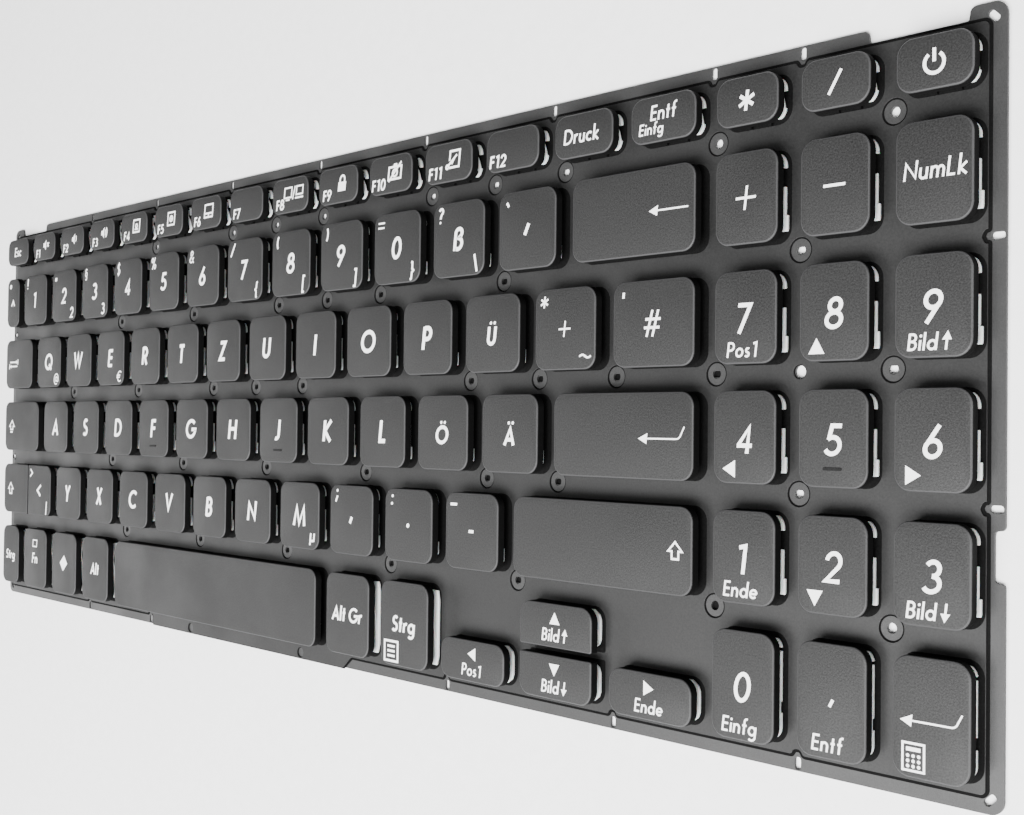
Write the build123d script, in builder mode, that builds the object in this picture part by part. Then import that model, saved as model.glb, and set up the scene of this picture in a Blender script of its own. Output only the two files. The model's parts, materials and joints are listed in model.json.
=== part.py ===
"""Laptop replacement keyboard: plate, membrane, domes, scissor levers and keycaps, lying flat, keys up."""

import os
from math import atan2, cos, degrees, hypot, sin, sqrt

from build123d import *

# Key field sizes, in millimetres
PITCH = 19.05  # from one letter key to the next, both ways
KEY_GAP = 4.2  # between neighbouring keycaps
PAD_PITCH = 16.05  # from one number pad column to the next
CARET_WIDTH = 8.05  # first key of the digit row
HASH_WIDTH = 17.6  # last key of the upper letter row, which sets the field's right edge
LEFT_CTRL_WIDTH = 10.7
SPACE_WIDTH = 92.1
TOP_DEPTH = 7.9  # half-depth top row
BOTTOM_DEPTH = 17.3  # deeper bottom row
ARROW_GAP = 1.4  # between the up and down arrows
SPLIT_GAP = 0.8  # between left shift and its neighbour
UPPER_STAGGER = 9.95  # upper letter row, from the digit row
HOME_STAGGER = 4.95  # home row, from the upper letter row
LOWER_STAGGER = 8.85  # lower letter row, from the home row
TOP_KEYS = 15  # top row keys left of the number pad

# Keycap shell
CAP_HEIGHT = 1.8
CAP_TOP = 0.9  # thickness of the top wall
CAP_WALL = 0.9
CORNER_WALL = 0.25  # left behind the flat across a corner

# Sheets and travel
PLATE_THICK = 0.5
MEMBRANE_THICK = 0.3
TRAVEL = 1.4
PRESS_CLEAR = 0.2  # left under a pressed keycap
RIM = 2.4  # plate showing outside the membrane
END_MARGIN = 1.45  # membrane beyond the keys, front and back
SIDE_MARGIN = 0.7  # membrane beyond the keys, left and right

# Plate outline and holes
PLATE_CORNER = 1.2
RECESS_WIDTH = 15.9
TAB_WIDTH = 5.6  # corner tab beside each recess
NOTCH_LENGTH = 7.3
NOTCH_DEPTH = 1.55
NOTCH_DROP = 3.0  # from the right-hand slot to the notch
SCREW_HOLE = 1.7
STAKE_LENGTH = 1.7  # oblong hole for a heat stake
STAKE_WIDTH = 1.1
STAKE_RING = 4.1  # opening in the membrane around a hole in the plate
STAKE_RISE = 0.8  # stakes sit above the middle of a row gap
STAKE_START = -6.0  # row of stakes below the top row's keys, from the first key's left side
STAKE_PITCH = 18.76
RING_SIDES = 6
SLOT_LENGTH = 2.0
SLOT_WIDTH = 1.1
SLOT_CORNER = 2.0  # from a corner slot's middle to the plate's edges
SLOT_PITCH = 36.8  # slots along the plate's upper edge
SLOT_LEAD = 1.15  # from the last of them to the number pad's first gap
SLOT_FLAP = 1.6  # from the flap's left end to the slot beside it
SLOT_NOTCH = 1.0  # radius of the membrane's notch beside a slot
FLAP_WIDTH = 86.0
FLAP_INSET = 15.0  # flap's left end, from the left end of the space bar
FLAP_SLANT = 3.0
FLAP_SLOT = 19.0  # flap's dark slots, from its ends

# Scissor levers, domes and stabilisers
LEVER_THICK = 0.5
LEVER_BAR = 1.0
LEVER_PLAY = 0.1
DOME_BASE = 5.6
DOME_TOP_RATIO = 0.55
DOME_SIDES = 5
WIRE = 0.8
WIRE_LEG = 4.0
WIRE_ROOM = 1.5 * WIRE  # levers of a steadied key stop short of its wire

# Sizes that follow
KEY = PITCH - KEY_GAP
LEVER_SPAN = PAD_PITCH - KEY_GAP  # full-depth keys share the number pad's levers
CAP_CORNER = 2 * CAP_WALL - sqrt(2) * CORNER_WALL
DIGIT_START = CARET_WIDTH + KEY_GAP
UPPER_START = DIGIT_START + UPPER_STAGGER
HOME_START = UPPER_START + HOME_STAGGER
LOWER_START = HOME_START + LOWER_STAGGER
BOTTOM_START = LEFT_CTRL_WIDTH + KEY_GAP
MAIN_WIDTH = UPPER_START + 12 * PITCH + HASH_WIDTH
PAD_START = MAIN_WIDTH + KEY_GAP
FIELD_WIDTH = PAD_START + 3 * PAD_PITCH - KEY_GAP
LOWER_Y = BOTTOM_DEPTH + KEY_GAP
HOME_Y = LOWER_Y + PITCH
UPPER_Y = HOME_Y + PITCH
DIGIT_Y = UPPER_Y + PITCH
TOP_Y = DIGIT_Y + PITCH
FIELD_DEPTH = TOP_Y + TOP_DEPTH
TOP_PITCH = (MAIN_WIDTH + KEY_GAP) / TOP_KEYS
SPACE_START = BOTTOM_START + 3 * PITCH
ALT_GR_START = SPACE_START + SPACE_WIDTH + KEY_GAP
ARROW_START = ALT_GR_START + 2 * PITCH
ARROW_PITCH = (PAD_START - ARROW_START) / 3
ARROW_DEPTH = (BOTTOM_DEPTH - ARROW_GAP) / 2
PLATE_WIDTH = FIELD_WIDTH + 2 * (SIDE_MARGIN + RIM)
PLATE_DEPTH = FIELD_DEPTH + 2 * (END_MARGIN + RIM)
DECK_Z = PLATE_THICK + MEMBRANE_THICK
SKIRT_Z = DECK_Z + TRAVEL + PRESS_CLEAR
CAP_Z = SKIRT_Z + CAP_HEIGHT
CEILING_Z = CAP_Z - CAP_TOP
FIELD_X = -FIELD_WIDTH / 2
FIELD_Y = -FIELD_DEPTH / 2


class Cell:
    """Place of one keycap: its box in the plane, and the side on which its corners stay square."""

    def __init__(self, left, bottom, width, depth, square=""):
        self.x = FIELD_X + left + width / 2
        self.y = FIELD_Y + bottom + depth / 2
        self.width = width
        self.depth = depth
        self.square = square
        self.lever_room = 0

    def plane(self, height):
        """Horizontal plane at the given height, centred on the cell."""
        return Plane(origin=(self.x, self.y, height))


def run_of_keys(names, left, bottom, pitch, gap, depth):
    """Cells of equal keys side by side."""
    cells = {}
    for index, name in enumerate(names.split()):
        cells[name] = Cell(left + index * pitch, bottom, pitch - gap, depth)
    return cells


def pad_keys(names, bottom, depth):
    """Cells of the three number pad keys in one row."""
    return run_of_keys(names, PAD_START, bottom, PAD_PITCH, KEY_GAP, depth)


def letter_row(names, first, last, start, bottom):
    """Cells of a row of letter keys with a wider key at each end."""
    count = len(names.split())
    end = start + count * PITCH
    cells = {first: Cell(0, bottom, start - KEY_GAP, KEY)}
    cells |= run_of_keys(names, start, bottom, PITCH, KEY_GAP, KEY)
    cells[last] = Cell(end, bottom, MAIN_WIDTH - end, KEY)
    return cells


def lower_row():
    """Cells of the lower letter row, whose left cell is split in two."""
    split = LOWER_START - PITCH
    cells = letter_row("key_y key_x key_c key_v key_b key_n key_m comma period minus",
                       "key_left_shift", "key_right_shift", LOWER_START, LOWER_Y)
    cells["key_left_shift"] = Cell(0, LOWER_Y, split - SPLIT_GAP, KEY, "east")
    cells["less"] = Cell(split, LOWER_Y, KEY, KEY, "west")
    return cells


def bottom_row():
    """Cells of the deeper bottom row with the arrow keys."""
    arrow = ARROW_PITCH - KEY_GAP
    middle = ARROW_START + ARROW_PITCH
    cells = {"left_ctrl": Cell(0, 0, LEFT_CTRL_WIDTH, BOTTOM_DEPTH)}
    cells |= run_of_keys("fn system alt", BOTTOM_START, 0, PITCH, KEY_GAP, BOTTOM_DEPTH)
    cells["key_space"] = Cell(SPACE_START, 0, SPACE_WIDTH, BOTTOM_DEPTH)
    cells |= run_of_keys("alt_gr right_ctrl", ALT_GR_START, 0, PITCH, KEY_GAP, BOTTOM_DEPTH)
    cells["arrow_left"] = Cell(ARROW_START, 0, arrow, ARROW_DEPTH)
    cells["arrow_down"] = Cell(middle, 0, arrow, ARROW_DEPTH, "north")
    cells["arrow_up"] = Cell(middle, ARROW_DEPTH + ARROW_GAP, arrow, ARROW_DEPTH, "south")
    cells["arrow_right"] = Cell(middle + ARROW_PITCH, 0, arrow, ARROW_DEPTH)
    return cells


def key_field():
    """Cells of all the keys, by name."""
    cells = run_of_keys("esc f1 f2 f3 f4 f5 f6 f7 f8 f9 f10 f11 f12 print delete",
                        0, TOP_Y, TOP_PITCH, KEY_GAP, TOP_DEPTH)
    cells |= pad_keys("star slash power", TOP_Y, TOP_DEPTH)
    cells |= letter_row("one two three four five six seven eight nine zero sharp_s acute",
                        "caret", "key_backspace", DIGIT_START, DIGIT_Y)
    cells |= pad_keys("pad_plus pad_minus pad_lock", DIGIT_Y, KEY)
    cells |= letter_row("key_q key_w key_e key_r key_t key_z key_u key_i key_o key_p key_ue plus",
                        "key_tab", "hash", UPPER_START, UPPER_Y)
    cells |= pad_keys("pad_7 pad_8 pad_9", UPPER_Y, KEY)
    cells |= letter_row("key_a key_s key_d key_f key_g key_h key_j key_k key_l key_oe key_ae",
                        "caps", "key_enter", HOME_START, HOME_Y)
    cells |= pad_keys("pad_4 pad_5 pad_6", HOME_Y, KEY)
    cells |= lower_row()
    cells |= pad_keys("pad_1 pad_2 pad_3", LOWER_Y, KEY)
    cells |= bottom_row()
    cells |= pad_keys("pad_0 pad_comma pad_enter", 0, BOTTOM_DEPTH)
    return cells


MOVING = ("key_", "pad_", "arrow_")
STEADIED = ("key_space", "key_enter", "key_backspace", "key_right_shift")
FIELD = key_field()
for wide_key in STEADIED:
    FIELD[wide_key].lever_room = WIRE_ROOM
MOVING_KEYS = {name: cell for name, cell in FIELD.items() if name.startswith(MOVING)}
FIXED_KEYS = {name: cell for name, cell in FIELD.items() if name not in MOVING_KEYS}

# Corners that are cut, in order along an axis, by the side of the keycap that stays square
CUT_CORNERS = {
    "": (Axis.X, slice(0, 4)),
    "east": (Axis.X, slice(0, 2)),
    "west": (Axis.X, slice(2, 4)),
    "north": (Axis.Y, slice(0, 2)),
    "south": (Axis.Y, slice(2, 4)),
}


def cap_block(cell):
    """Solid keycap with a flat across each corner, apart from those on its square side."""
    axis, cut = CUT_CORNERS[cell.square]
    with BuildPart() as block:
        with BuildSketch(cell.plane(SKIRT_Z)) as outline:
            Rectangle(cell.width, cell.depth)
            chamfer(outline.vertices().sort_by(axis)[cut], CAP_CORNER)
        extrude(amount=CAP_HEIGHT)
    return block.part


def moving_cap(cell):
    """Keycap shell, open below."""
    with BuildPart() as cap:
        add(cap_block(cell))
        with BuildSketch(cell.plane(SKIRT_Z)):
            Rectangle(cell.width - 2 * CAP_WALL, cell.depth - 2 * CAP_WALL)
        extrude(amount=CAP_HEIGHT - CAP_TOP, mode=Mode.SUBTRACT)
    return cap.part


def fixed_cap(cell):
    """Keycap in one piece with the dome that carries it."""
    base, depth = dome_base(cell)
    with BuildPart() as cap:
        add(cap_block(cell))
        with BuildSketch(cell.plane(DECK_Z)):
            Rectangle(base, depth)
        extrude(amount=SKIRT_Z - DECK_Z)
    return cap.part


def lever_frame(cell):
    """Width, run and rise of the outer lever that fits under a keycap."""
    inset = 2 * (CAP_WALL + LEVER_PLAY)
    span = cell.width if cell.depth < KEY else min(cell.width, LEVER_SPAN)
    width = span - inset
    run = cell.depth - inset - LEVER_THICK - 2 * cell.lever_room
    rise = CEILING_Z - DECK_Z - LEVER_THICK - LEVER_PLAY
    return width, run, rise


def dome_base(cell):
    """Width and depth of the dome that fits inside the levers."""
    width, run, _ = lever_frame(cell)
    inside = width - 4 * LEVER_BAR - 4 * LEVER_PLAY
    between = run - 2 * LEVER_BAR - 4 * LEVER_PLAY
    return min(DOME_BASE, inside), min(DOME_BASE, between)


def tilted_plane(cell, rise, run):
    """Plane through the middle of the lever space, climbing by rise over run towards +Y."""
    angle = atan2(rise, run)
    middle = (DECK_Z + CEILING_Z) / 2
    return Plane(origin=(cell.x, cell.y, middle), x_dir=(1, 0, 0), z_dir=(0, -sin(angle), cos(angle)))


def outer_lever(cell):
    """Outer frame, open at its foot, which stands at the front of the key."""
    width, run, rise = lever_frame(cell)
    length = hypot(run, rise)
    with BuildPart() as lever:
        with BuildSketch(tilted_plane(cell, rise, run)):
            Rectangle(width, length)
            with Locations((0, -LEVER_BAR)):
                Rectangle(width - 2 * LEVER_BAR, length, mode=Mode.SUBTRACT)
        extrude(amount=LEVER_THICK / 2, both=True)
    return lever.part


def inner_lever(cell):
    """Inner frame, a closed ring, which stands at the back of the key."""
    width, run, rise = lever_frame(cell)
    length = hypot(run, rise)
    narrow = width - 2 * (LEVER_BAR + LEVER_PLAY)
    with BuildPart() as lever:
        with BuildSketch(tilted_plane(cell, -rise, run)):
            Rectangle(narrow, length)
            Rectangle(narrow - 2 * LEVER_BAR, length - 2 * LEVER_BAR, mode=Mode.SUBTRACT)
        extrude(amount=LEVER_THICK / 2, both=True)
    return lever.part


def rubber_dome(cell):
    """Dome from the membrane to the keycap's ceiling."""
    width, depth = dome_base(cell)
    height = CEILING_Z - DECK_Z
    base = min(width, depth) / 2
    slope = degrees(atan2(base * (1 - DOME_TOP_RATIO), height))
    with BuildPart() as dome:
        with BuildSketch(cell.plane(DECK_Z)):
            RegularPolygon(base, DOME_SIDES)
        extrude(amount=height, taper=slope)
    return dome.part


def stabiliser(cell):
    """Bent steel wire along the front of a wide key, clipped under its top, with legs down to the plate."""
    span = cell.width - 2 * (CAP_WALL + CAP_CORNER)
    rise = CEILING_Z - DECK_Z - WIRE - LEVER_PLAY
    length = hypot(rise, WIRE_LEG)
    reach = WIRE_LEG + WIRE * rise / length
    front = Cell(0, 0, span, reach)
    front.x = cell.x
    front.y = cell.y - cell.depth / 2 + CAP_WALL + LEVER_PLAY + reach / 2
    with BuildPart() as wire:
        with BuildSketch(tilted_plane(front, -rise, WIRE_LEG)):
            Rectangle(span, length)
            with Locations((0, WIRE)):
                Rectangle(span - 2 * WIRE, length, mode=Mode.SUBTRACT)
        extrude(amount=WIRE / 2, both=True)
    return wire.part


def row_gap(row_y, depth):
    """Height in the field of the stakes above a row."""
    return FIELD_Y + row_y + depth + KEY_GAP / 2 + STAKE_RISE


def gap_before(start, pitch, index):
    """Middle of the gap before a key of a row."""
    return FIELD_X + start + index * pitch - KEY_GAP / 2


PAD_GAPS = [gap_before(PAD_START, PAD_PITCH, index) for index in range(3)]
GAP_ROWS = {
    "top": row_gap(DIGIT_Y, KEY),
    "digit": row_gap(UPPER_Y, KEY),
    "upper": row_gap(HOME_Y, KEY),
    "home": row_gap(LOWER_Y, KEY),
    "lower": row_gap(0, BOTTOM_DEPTH),
}
SCREW_STAKES = [(PAD_GAPS[side], GAP_ROWS[row]) for row in ("top", "lower") for side in (0, 2)]
STAKE_GAPS = {
    "top": (STAKE_START, STAKE_PITCH, (5, 7, 8, 9, 11, 12, 13)),
    "digit": (DIGIT_START, PITCH, (3, 5, 7, 8, 9, 11)),
    "upper": (UPPER_START, PITCH, (1, 3, 5, 6, 7, 10, 11, 12)),
    "home": (HOME_START, PITCH, (2, 4, 6, 8, 10, 11)),
    "lower": (LOWER_START, PITCH, (2, 4, 6, 8, 10)),
}
STAKES = [(PAD_GAPS[1], GAP_ROWS["digit"]), (PAD_GAPS[1], GAP_ROWS["home"])]
STAKES += [(PAD_GAPS[side], GAP_ROWS["upper"]) for side in (0, 2)]
for gap_row, (row_start, row_pitch, indices) in STAKE_GAPS.items():
    STAKES += [(gap_before(row_start, row_pitch, index), GAP_ROWS[gap_row]) for index in indices]
PLAIN_HOLE = (PAD_GAPS[1], GAP_ROWS["upper"])

RIM_X = PLATE_WIDTH / 2 - RIM / 2
RIM_Y = PLATE_DEPTH / 2 - RIM / 2
TOP_SLOTS = [(PAD_GAPS[0] - SLOT_LEAD - index * SLOT_PITCH, RIM_Y) for index in range(7)]
TOP_SLOTS += [(PAD_GAPS[1], RIM_Y)]
BOTTOM_SLOTS = [(gap_before(BOTTOM_START, PITCH, 2), -RIM_Y)]
BOTTOM_SLOTS += [(FIELD_X + SPACE_START + FLAP_INSET - SLOT_FLAP, -RIM_Y)]
BOTTOM_SLOTS += [(gap_before(ARROW_START, ARROW_PITCH, index), -RIM_Y) for index in (0, 2)]
BOTTOM_SLOTS += [(PAD_GAPS[1], -RIM_Y)]
SIDE_SLOTS = [(side * RIM_X, GAP_ROWS[row] - STAKE_RISE) for side in (-1, 1) for row in ("digit", "home")]
CORNER_X = PLATE_WIDTH / 2 - SLOT_CORNER
CORNER_Y = PLATE_DEPTH / 2 - SLOT_CORNER
RISING_CORNERS = [(-CORNER_X, CORNER_Y), (CORNER_X, -CORNER_Y)]
FALLING_CORNERS = [(-CORNER_X, -CORNER_Y), (CORNER_X, CORNER_Y)]


def slots(places, angle):
    """Rim slots, subtracted from the open sketch."""
    with Locations(*[Location((x, y, 0), (0, 0, angle)) for x, y in places]):
        Rectangle(SLOT_LENGTH, SLOT_WIDTH, mode=Mode.SUBTRACT)


with BuildPart() as base_plate:
    with BuildSketch(Plane.XY) as plate_face:
        Rectangle(PLATE_WIDTH, PLATE_DEPTH)
        chamfer(plate_face.vertices(), PLATE_CORNER)
        recess_x = PLATE_WIDTH / 2 - TAB_WIDTH - RECESS_WIDTH / 2
        with Locations((-recess_x, RIM_Y), (recess_x, RIM_Y)):
            Rectangle(RECESS_WIDTH, RIM, mode=Mode.SUBTRACT)
        notch_y = GAP_ROWS["home"] - STAKE_RISE - NOTCH_DROP - NOTCH_LENGTH / 2
        with Locations((PLATE_WIDTH / 2 - NOTCH_DEPTH / 2, notch_y)):
            Rectangle(NOTCH_DEPTH, NOTCH_LENGTH, mode=Mode.SUBTRACT)
        with Locations(*SCREW_STAKES):
            Circle(SCREW_HOLE / 2, mode=Mode.SUBTRACT)
        with Locations(*STAKES, PLAIN_HOLE):
            Rectangle(STAKE_LENGTH, STAKE_WIDTH, mode=Mode.SUBTRACT)
        slots(TOP_SLOTS + BOTTOM_SLOTS, 90)
        slots(SIDE_SLOTS, 0)
        slots(RISING_CORNERS, 45)
        slots(FALLING_CORNERS, -45)
    extrude(amount=PLATE_THICK)
base_plate.part.label = "base_plate"

with BuildPart() as membrane:
    flap_left = FIELD_X + SPACE_START + FLAP_INSET
    flap_right = flap_left + FLAP_WIDTH
    flap_top = RIM_Y - RIM / 2
    flap_end = PLATE_DEPTH / 2 + MEMBRANE_THICK
    with BuildSketch(Plane.XY.offset(PLATE_THICK)) as sheet_face:
        Rectangle(PLATE_WIDTH - 2 * RIM, PLATE_DEPTH - 2 * RIM)
        chamfer(sheet_face.vertices(), PLATE_CORNER / 2)
        with Locations(*[(x, y - RIM / 2) for x, y in TOP_SLOTS]):
            RegularPolygon(SLOT_NOTCH, RING_SIDES, mode=Mode.SUBTRACT)
        with Locations(*[(x, y + RIM / 2) for x, y in BOTTOM_SLOTS]):
            RegularPolygon(SLOT_NOTCH, RING_SIDES, mode=Mode.SUBTRACT)
        with Locations(*[(x - RIM / 2 if x > 0 else x + RIM / 2, y) for x, y in SIDE_SLOTS]):
            RegularPolygon(SLOT_NOTCH, RING_SIDES, mode=Mode.SUBTRACT)
        with BuildLine():
            Polyline((flap_left, -flap_top), (flap_left, -flap_end), (flap_right - FLAP_SLANT, -flap_end),
                     (flap_right, -flap_top), close=True)
        make_face()
        with Locations(*STAKES, *SCREW_STAKES):
            RegularPolygon(STAKE_RING / 2, RING_SIDES, mode=Mode.SUBTRACT)
        with Locations(PLAIN_HOLE):
            Rectangle(STAKE_LENGTH, STAKE_WIDTH, mode=Mode.SUBTRACT)
        slots([(flap_left + FLAP_SLOT, -RIM_Y), (flap_right - FLAP_SLOT, -RIM_Y)], 90)
    extrude(amount=MEMBRANE_THICK)
    with BuildSketch(Plane.XY):
        with Locations(((flap_left + flap_right - FLAP_SLANT) / 2, -flap_end + MEMBRANE_THICK / 2)):
            Rectangle(FLAP_WIDTH - FLAP_SLANT, MEMBRANE_THICK)
    extrude(amount=PLATE_THICK)
membrane.part.label = "membrane"

os.makedirs("parts", exist_ok=True)
export_step(base_plate.part, "parts/base_plate.step")
export_step(membrane.part, "parts/membrane.step")

GROUPS = {
    "rubber_domes": [rubber_dome(cell) for cell in MOVING_KEYS.values()],
    "scissor_levers": [make(cell) for cell in MOVING_KEYS.values() for make in (outer_lever, inner_lever)],
    "stabilisers": [stabiliser(FIELD[name]) for name in STEADIED],
    "fixed_keys": [fixed_cap(cell) for cell in FIXED_KEYS.values()],
}
for group, pieces in GROUPS.items():
    export_step(Compound(label=group, children=pieces), f"parts/{group}.step")

for name, cell in MOVING_KEYS.items():
    cap = moving_cap(cell)
    cap.label = name
    export_step(cap, f"parts/{name}.step")
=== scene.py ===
"""Laptop replacement keyboard on its CAD frame: plate, film, scissor lifts, keycaps and printed legends."""

import json
import logging
import math
from dataclasses import dataclass, field, replace
from enum import Enum
from typing import Callable, Iterable, Sequence

import bmesh
import bpy
from mathutils import Matrix, Vector


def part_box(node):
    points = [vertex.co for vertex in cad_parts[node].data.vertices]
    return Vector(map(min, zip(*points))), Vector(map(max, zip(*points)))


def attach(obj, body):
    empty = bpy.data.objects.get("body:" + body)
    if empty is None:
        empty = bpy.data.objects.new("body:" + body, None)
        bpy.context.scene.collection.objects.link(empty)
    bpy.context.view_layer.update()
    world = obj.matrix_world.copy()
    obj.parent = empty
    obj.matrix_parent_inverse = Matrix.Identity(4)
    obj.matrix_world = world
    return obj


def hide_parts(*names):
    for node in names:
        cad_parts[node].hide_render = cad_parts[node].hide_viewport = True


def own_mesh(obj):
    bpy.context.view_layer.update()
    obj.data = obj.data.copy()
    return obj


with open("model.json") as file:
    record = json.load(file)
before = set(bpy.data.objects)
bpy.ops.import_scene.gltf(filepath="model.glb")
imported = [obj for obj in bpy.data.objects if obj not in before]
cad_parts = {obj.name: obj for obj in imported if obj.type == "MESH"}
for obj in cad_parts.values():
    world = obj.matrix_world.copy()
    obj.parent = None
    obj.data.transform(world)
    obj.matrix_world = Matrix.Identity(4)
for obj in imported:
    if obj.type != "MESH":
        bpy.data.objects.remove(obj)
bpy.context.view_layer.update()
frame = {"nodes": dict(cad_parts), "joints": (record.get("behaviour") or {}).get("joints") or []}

MM = 0.001  # drafts are in millimetres, Blender's objects in metres
LOG = logging.getLogger("keyboard")
BASE = "base"  # body that carries everything but the moving keycaps

Point = tuple[float, float]
Solid = tuple[float, float, float]
Colour = tuple[float, float, float]


class Side(Enum):
    """Side of a keycap, as a step along X and Y."""

    EAST = (1, 0)
    WEST = (-1, 0)
    NORTH = (0, 1)
    SOUTH = (0, -1)


class Spot(Enum):
    """Where a legend sits on its keycap."""

    CENTRE = "centre"
    UPPER_LEFT = "upper left"
    LOWER_RIGHT = "lower right"
    LOWER_LEFT = "lower left"
    FOOT = "foot"
    EAST_END = "east end"
    WEST_END = "west end"


FIXED_ROWS = (
    "esc f1 f2 f3 f4 f5 f6 f7 f8 f9 f10 f11 f12 print delete star slash power",
    "caret one two three four five six seven eight nine zero sharp_s acute",
    "plus hash",
    "caps",
    "less comma period minus",
    "left_ctrl fn system alt alt_gr right_ctrl",
)
SQUARE_SIDES = {
    "key_left_shift": Side.EAST,
    "less": Side.WEST,
    "arrow_up": Side.SOUTH,
    "arrow_down": Side.NORTH,
}
HOMING_KEYS = ("key_f", "key_j", "pad_5")
SHADOW_DISC_LIFT = 0.006  # gap under the dark discs that paint the shadow in the stake holes, in millimetres
SHADOW_BORDER_RISE = 0.1  # height above the plate of the dark sheet round the film's edge, which paints the film's shadow line, in millimetres
STEADIED_KEYS = ("key_space", "key_enter", "key_backspace", "key_right_shift")


@dataclass(frozen=True)
class Cell:
    """Place of one keycap in plan, in millimetres.

    Args:
        name: the key's name.
        x: middle along the rows.
        y: middle across the rows.
        width: size along the rows.
        depth: size across the rows.
    """

    name: str
    x: float
    y: float
    width: float
    depth: float

    @classmethod
    def from_box(cls, name: str, low: Vector, high: Vector) -> "Cell":
        """Cell of a keycap whose box is given in metres.

        Args:
            name: the key's name.
            low: lowest corner of its box.
            high: highest corner of its box.

        Returns:
            The cell, in millimetres.
        """
        size = (high - low) / MM
        middle = (high + low) / 2 / MM
        return cls(name, middle.x, middle.y, size.x, size.y)

    @property
    def square(self) -> Side | None:
        """Side on which the corners stay square."""
        return SQUARE_SIDES.get(self.name)


class KeyLayout:
    """Keycap places and the levels of the stack, all read from the frame."""

    def __init__(self) -> None:
        """Reads the moving keycaps' nodes and the solids of the fixed ones."""
        self.joints = {joint["child"]: joint for joint in frame["joints"]}
        self.moving = {name: Cell.from_box(name, *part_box(name)) for name in self.joints}
        low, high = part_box(next(iter(self.joints)))
        self.skirt = low.z / MM
        self.top = high.z / MM
        self.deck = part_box("membrane")[1].z / MM
        self.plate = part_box("base_plate")[1].z / MM
        self.fixed = self._fixed_cells()

    def _fixed_cells(self) -> dict[str, Cell]:
        """Names the fixed keycaps by their rows.

        Returns:
            Cells of the fixed keycaps, by name.
        """
        boxes = sorted(solid_boxes(frame["nodes"]["fixed_keys"]), key=lambda box: -(box[0].y + box[1].y))
        cells = {}
        for row in FIXED_ROWS:
            names = row.split()
            members = sorted(boxes[:len(names)], key=lambda box: box[0].x)
            boxes = boxes[len(names):]
            cells |= {name: Cell.from_box(name, *box) for name, box in zip(names, members)}
        return cells

    @property
    def cells(self) -> dict[str, Cell]:
        """All the keycaps' cells, by name."""
        return self.moving | self.fixed


def merged(node: bpy.types.Object) -> bmesh.types.BMesh:
    """Working copy of a node's mesh with its doubled points merged.

    Args:
        node: a CAD node.

    Returns:
        The copy, which the caller frees.
    """
    shape = bmesh.new()
    shape.from_mesh(node.data)
    bmesh.ops.remove_doubles(shape, verts=shape.verts, dist=1e-6)
    return shape


def solid_boxes(node: bpy.types.Object) -> list[tuple[Vector, Vector]]:
    """Boxes of a node's separate solids.

    Args:
        node: a CAD node.

    Returns:
        Lowest and highest corner of each solid, in metres.
    """
    shape = merged(node)
    unseen = set(shape.verts)
    boxes = []
    while unseen:
        front = [unseen.pop()]
        members = []
        while front:
            vert = front.pop()
            members.append(vert.co.copy())
            near = {edge.other_vert(vert) for edge in vert.link_edges} & unseen
            unseen -= near
            front.extend(near)
        boxes.append((Vector(map(min, zip(*members))), Vector(map(max, zip(*members)))))
    shape.free()
    return boxes


def top_loops(node: bpy.types.Object) -> list[list[Point]]:
    """Edges of a sheet's top face: its outline first, then its holes.

    Args:
        node: a CAD node that is a flat sheet.

    Returns:
        Corner points of each closed edge, in millimetres.
    """
    shape = merged(node)
    level = max(vert.co.z for vert in shape.verts)
    top = {face for face in shape.faces if all(abs(vert.co.z - level) < 1e-6 for vert in face.verts)}
    links: dict[int, list[int]] = {}
    for edge in shape.edges:
        if len(top.intersection(edge.link_faces)) == 1:
            first, second = (vert.index for vert in edge.verts)
            links.setdefault(first, []).append(second)
            links.setdefault(second, []).append(first)
    shape.verts.ensure_lookup_table()
    loops = []
    while links:
        walk = [min(links)]
        while walk[-1] in links:
            onward = [index for index in links.pop(walk[-1]) if index in links]
            if not onward:
                break
            walk.append(onward[0])
        loops.append(corners_only([tuple(shape.verts[index].co.xy / MM) for index in walk]))
    shape.free()
    return sorted(loops, key=lambda loop: -abs(loop_area(loop)))


def corners_only(loop: list[Point]) -> list[Point]:
    """Drops the points of a closed loop that lie on a straight edge.

    Args:
        loop: points of the loop.

    Returns:
        The points at its corners.
    """
    kept = []
    for index, here in enumerate(loop):
        before = Vector(here) - Vector(loop[index - 1])
        after = Vector(loop[(index + 1) % len(loop)]) - Vector(here)
        if abs(before.normalized().cross(after.normalized())) > 1e-3:
            kept.append(here)
    return kept


def loop_area(loop: Sequence[Point]) -> float:
    """Signed area inside a closed loop.

    Args:
        loop: points of the loop.

    Returns:
        The area, above zero for a counter-clockwise loop.
    """
    pairs = zip(loop, [*loop[1:], loop[0]])
    return sum(ax * by - bx * ay for (ax, ay), (bx, by) in pairs) / 2


def circle(middle: Point, radius: float, count: int = 32) -> list[Point]:
    """Points round a circle.

    Args:
        middle: its middle.
        radius: its radius.
        count: how many points.

    Returns:
        The points, counter-clockwise.
    """
    turns = [math.tau * index / count for index in range(count)]
    return [(middle[0] + radius * math.cos(turn), middle[1] + radius * math.sin(turn)) for turn in turns]


def softened(loop: Sequence[Point], reach: float, steps: int = 5) -> list[Point]:
    """Rounds the corners of a closed loop.

    Args:
        loop: corner points.
        reach: how far along its edges each corner is rounded, at most.
        steps: points in each rounded corner.

    Returns:
        Points of the rounded loop.
    """
    points = []
    for index, here in enumerate(map(Vector, loop)):
        before = Vector(loop[index - 1]) - here
        after = Vector(loop[(index + 1) % len(loop)]) - here
        cut = min(reach, 0.48 * before.length, 0.48 * after.length)
        start = here + before.normalized() * cut
        end = here + after.normalized() * cut
        for step in range(steps):
            share = step / (steps - 1)
            points.append(tuple(start.lerp(here, share).lerp(here.lerp(end, share), share)))
    return points


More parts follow.
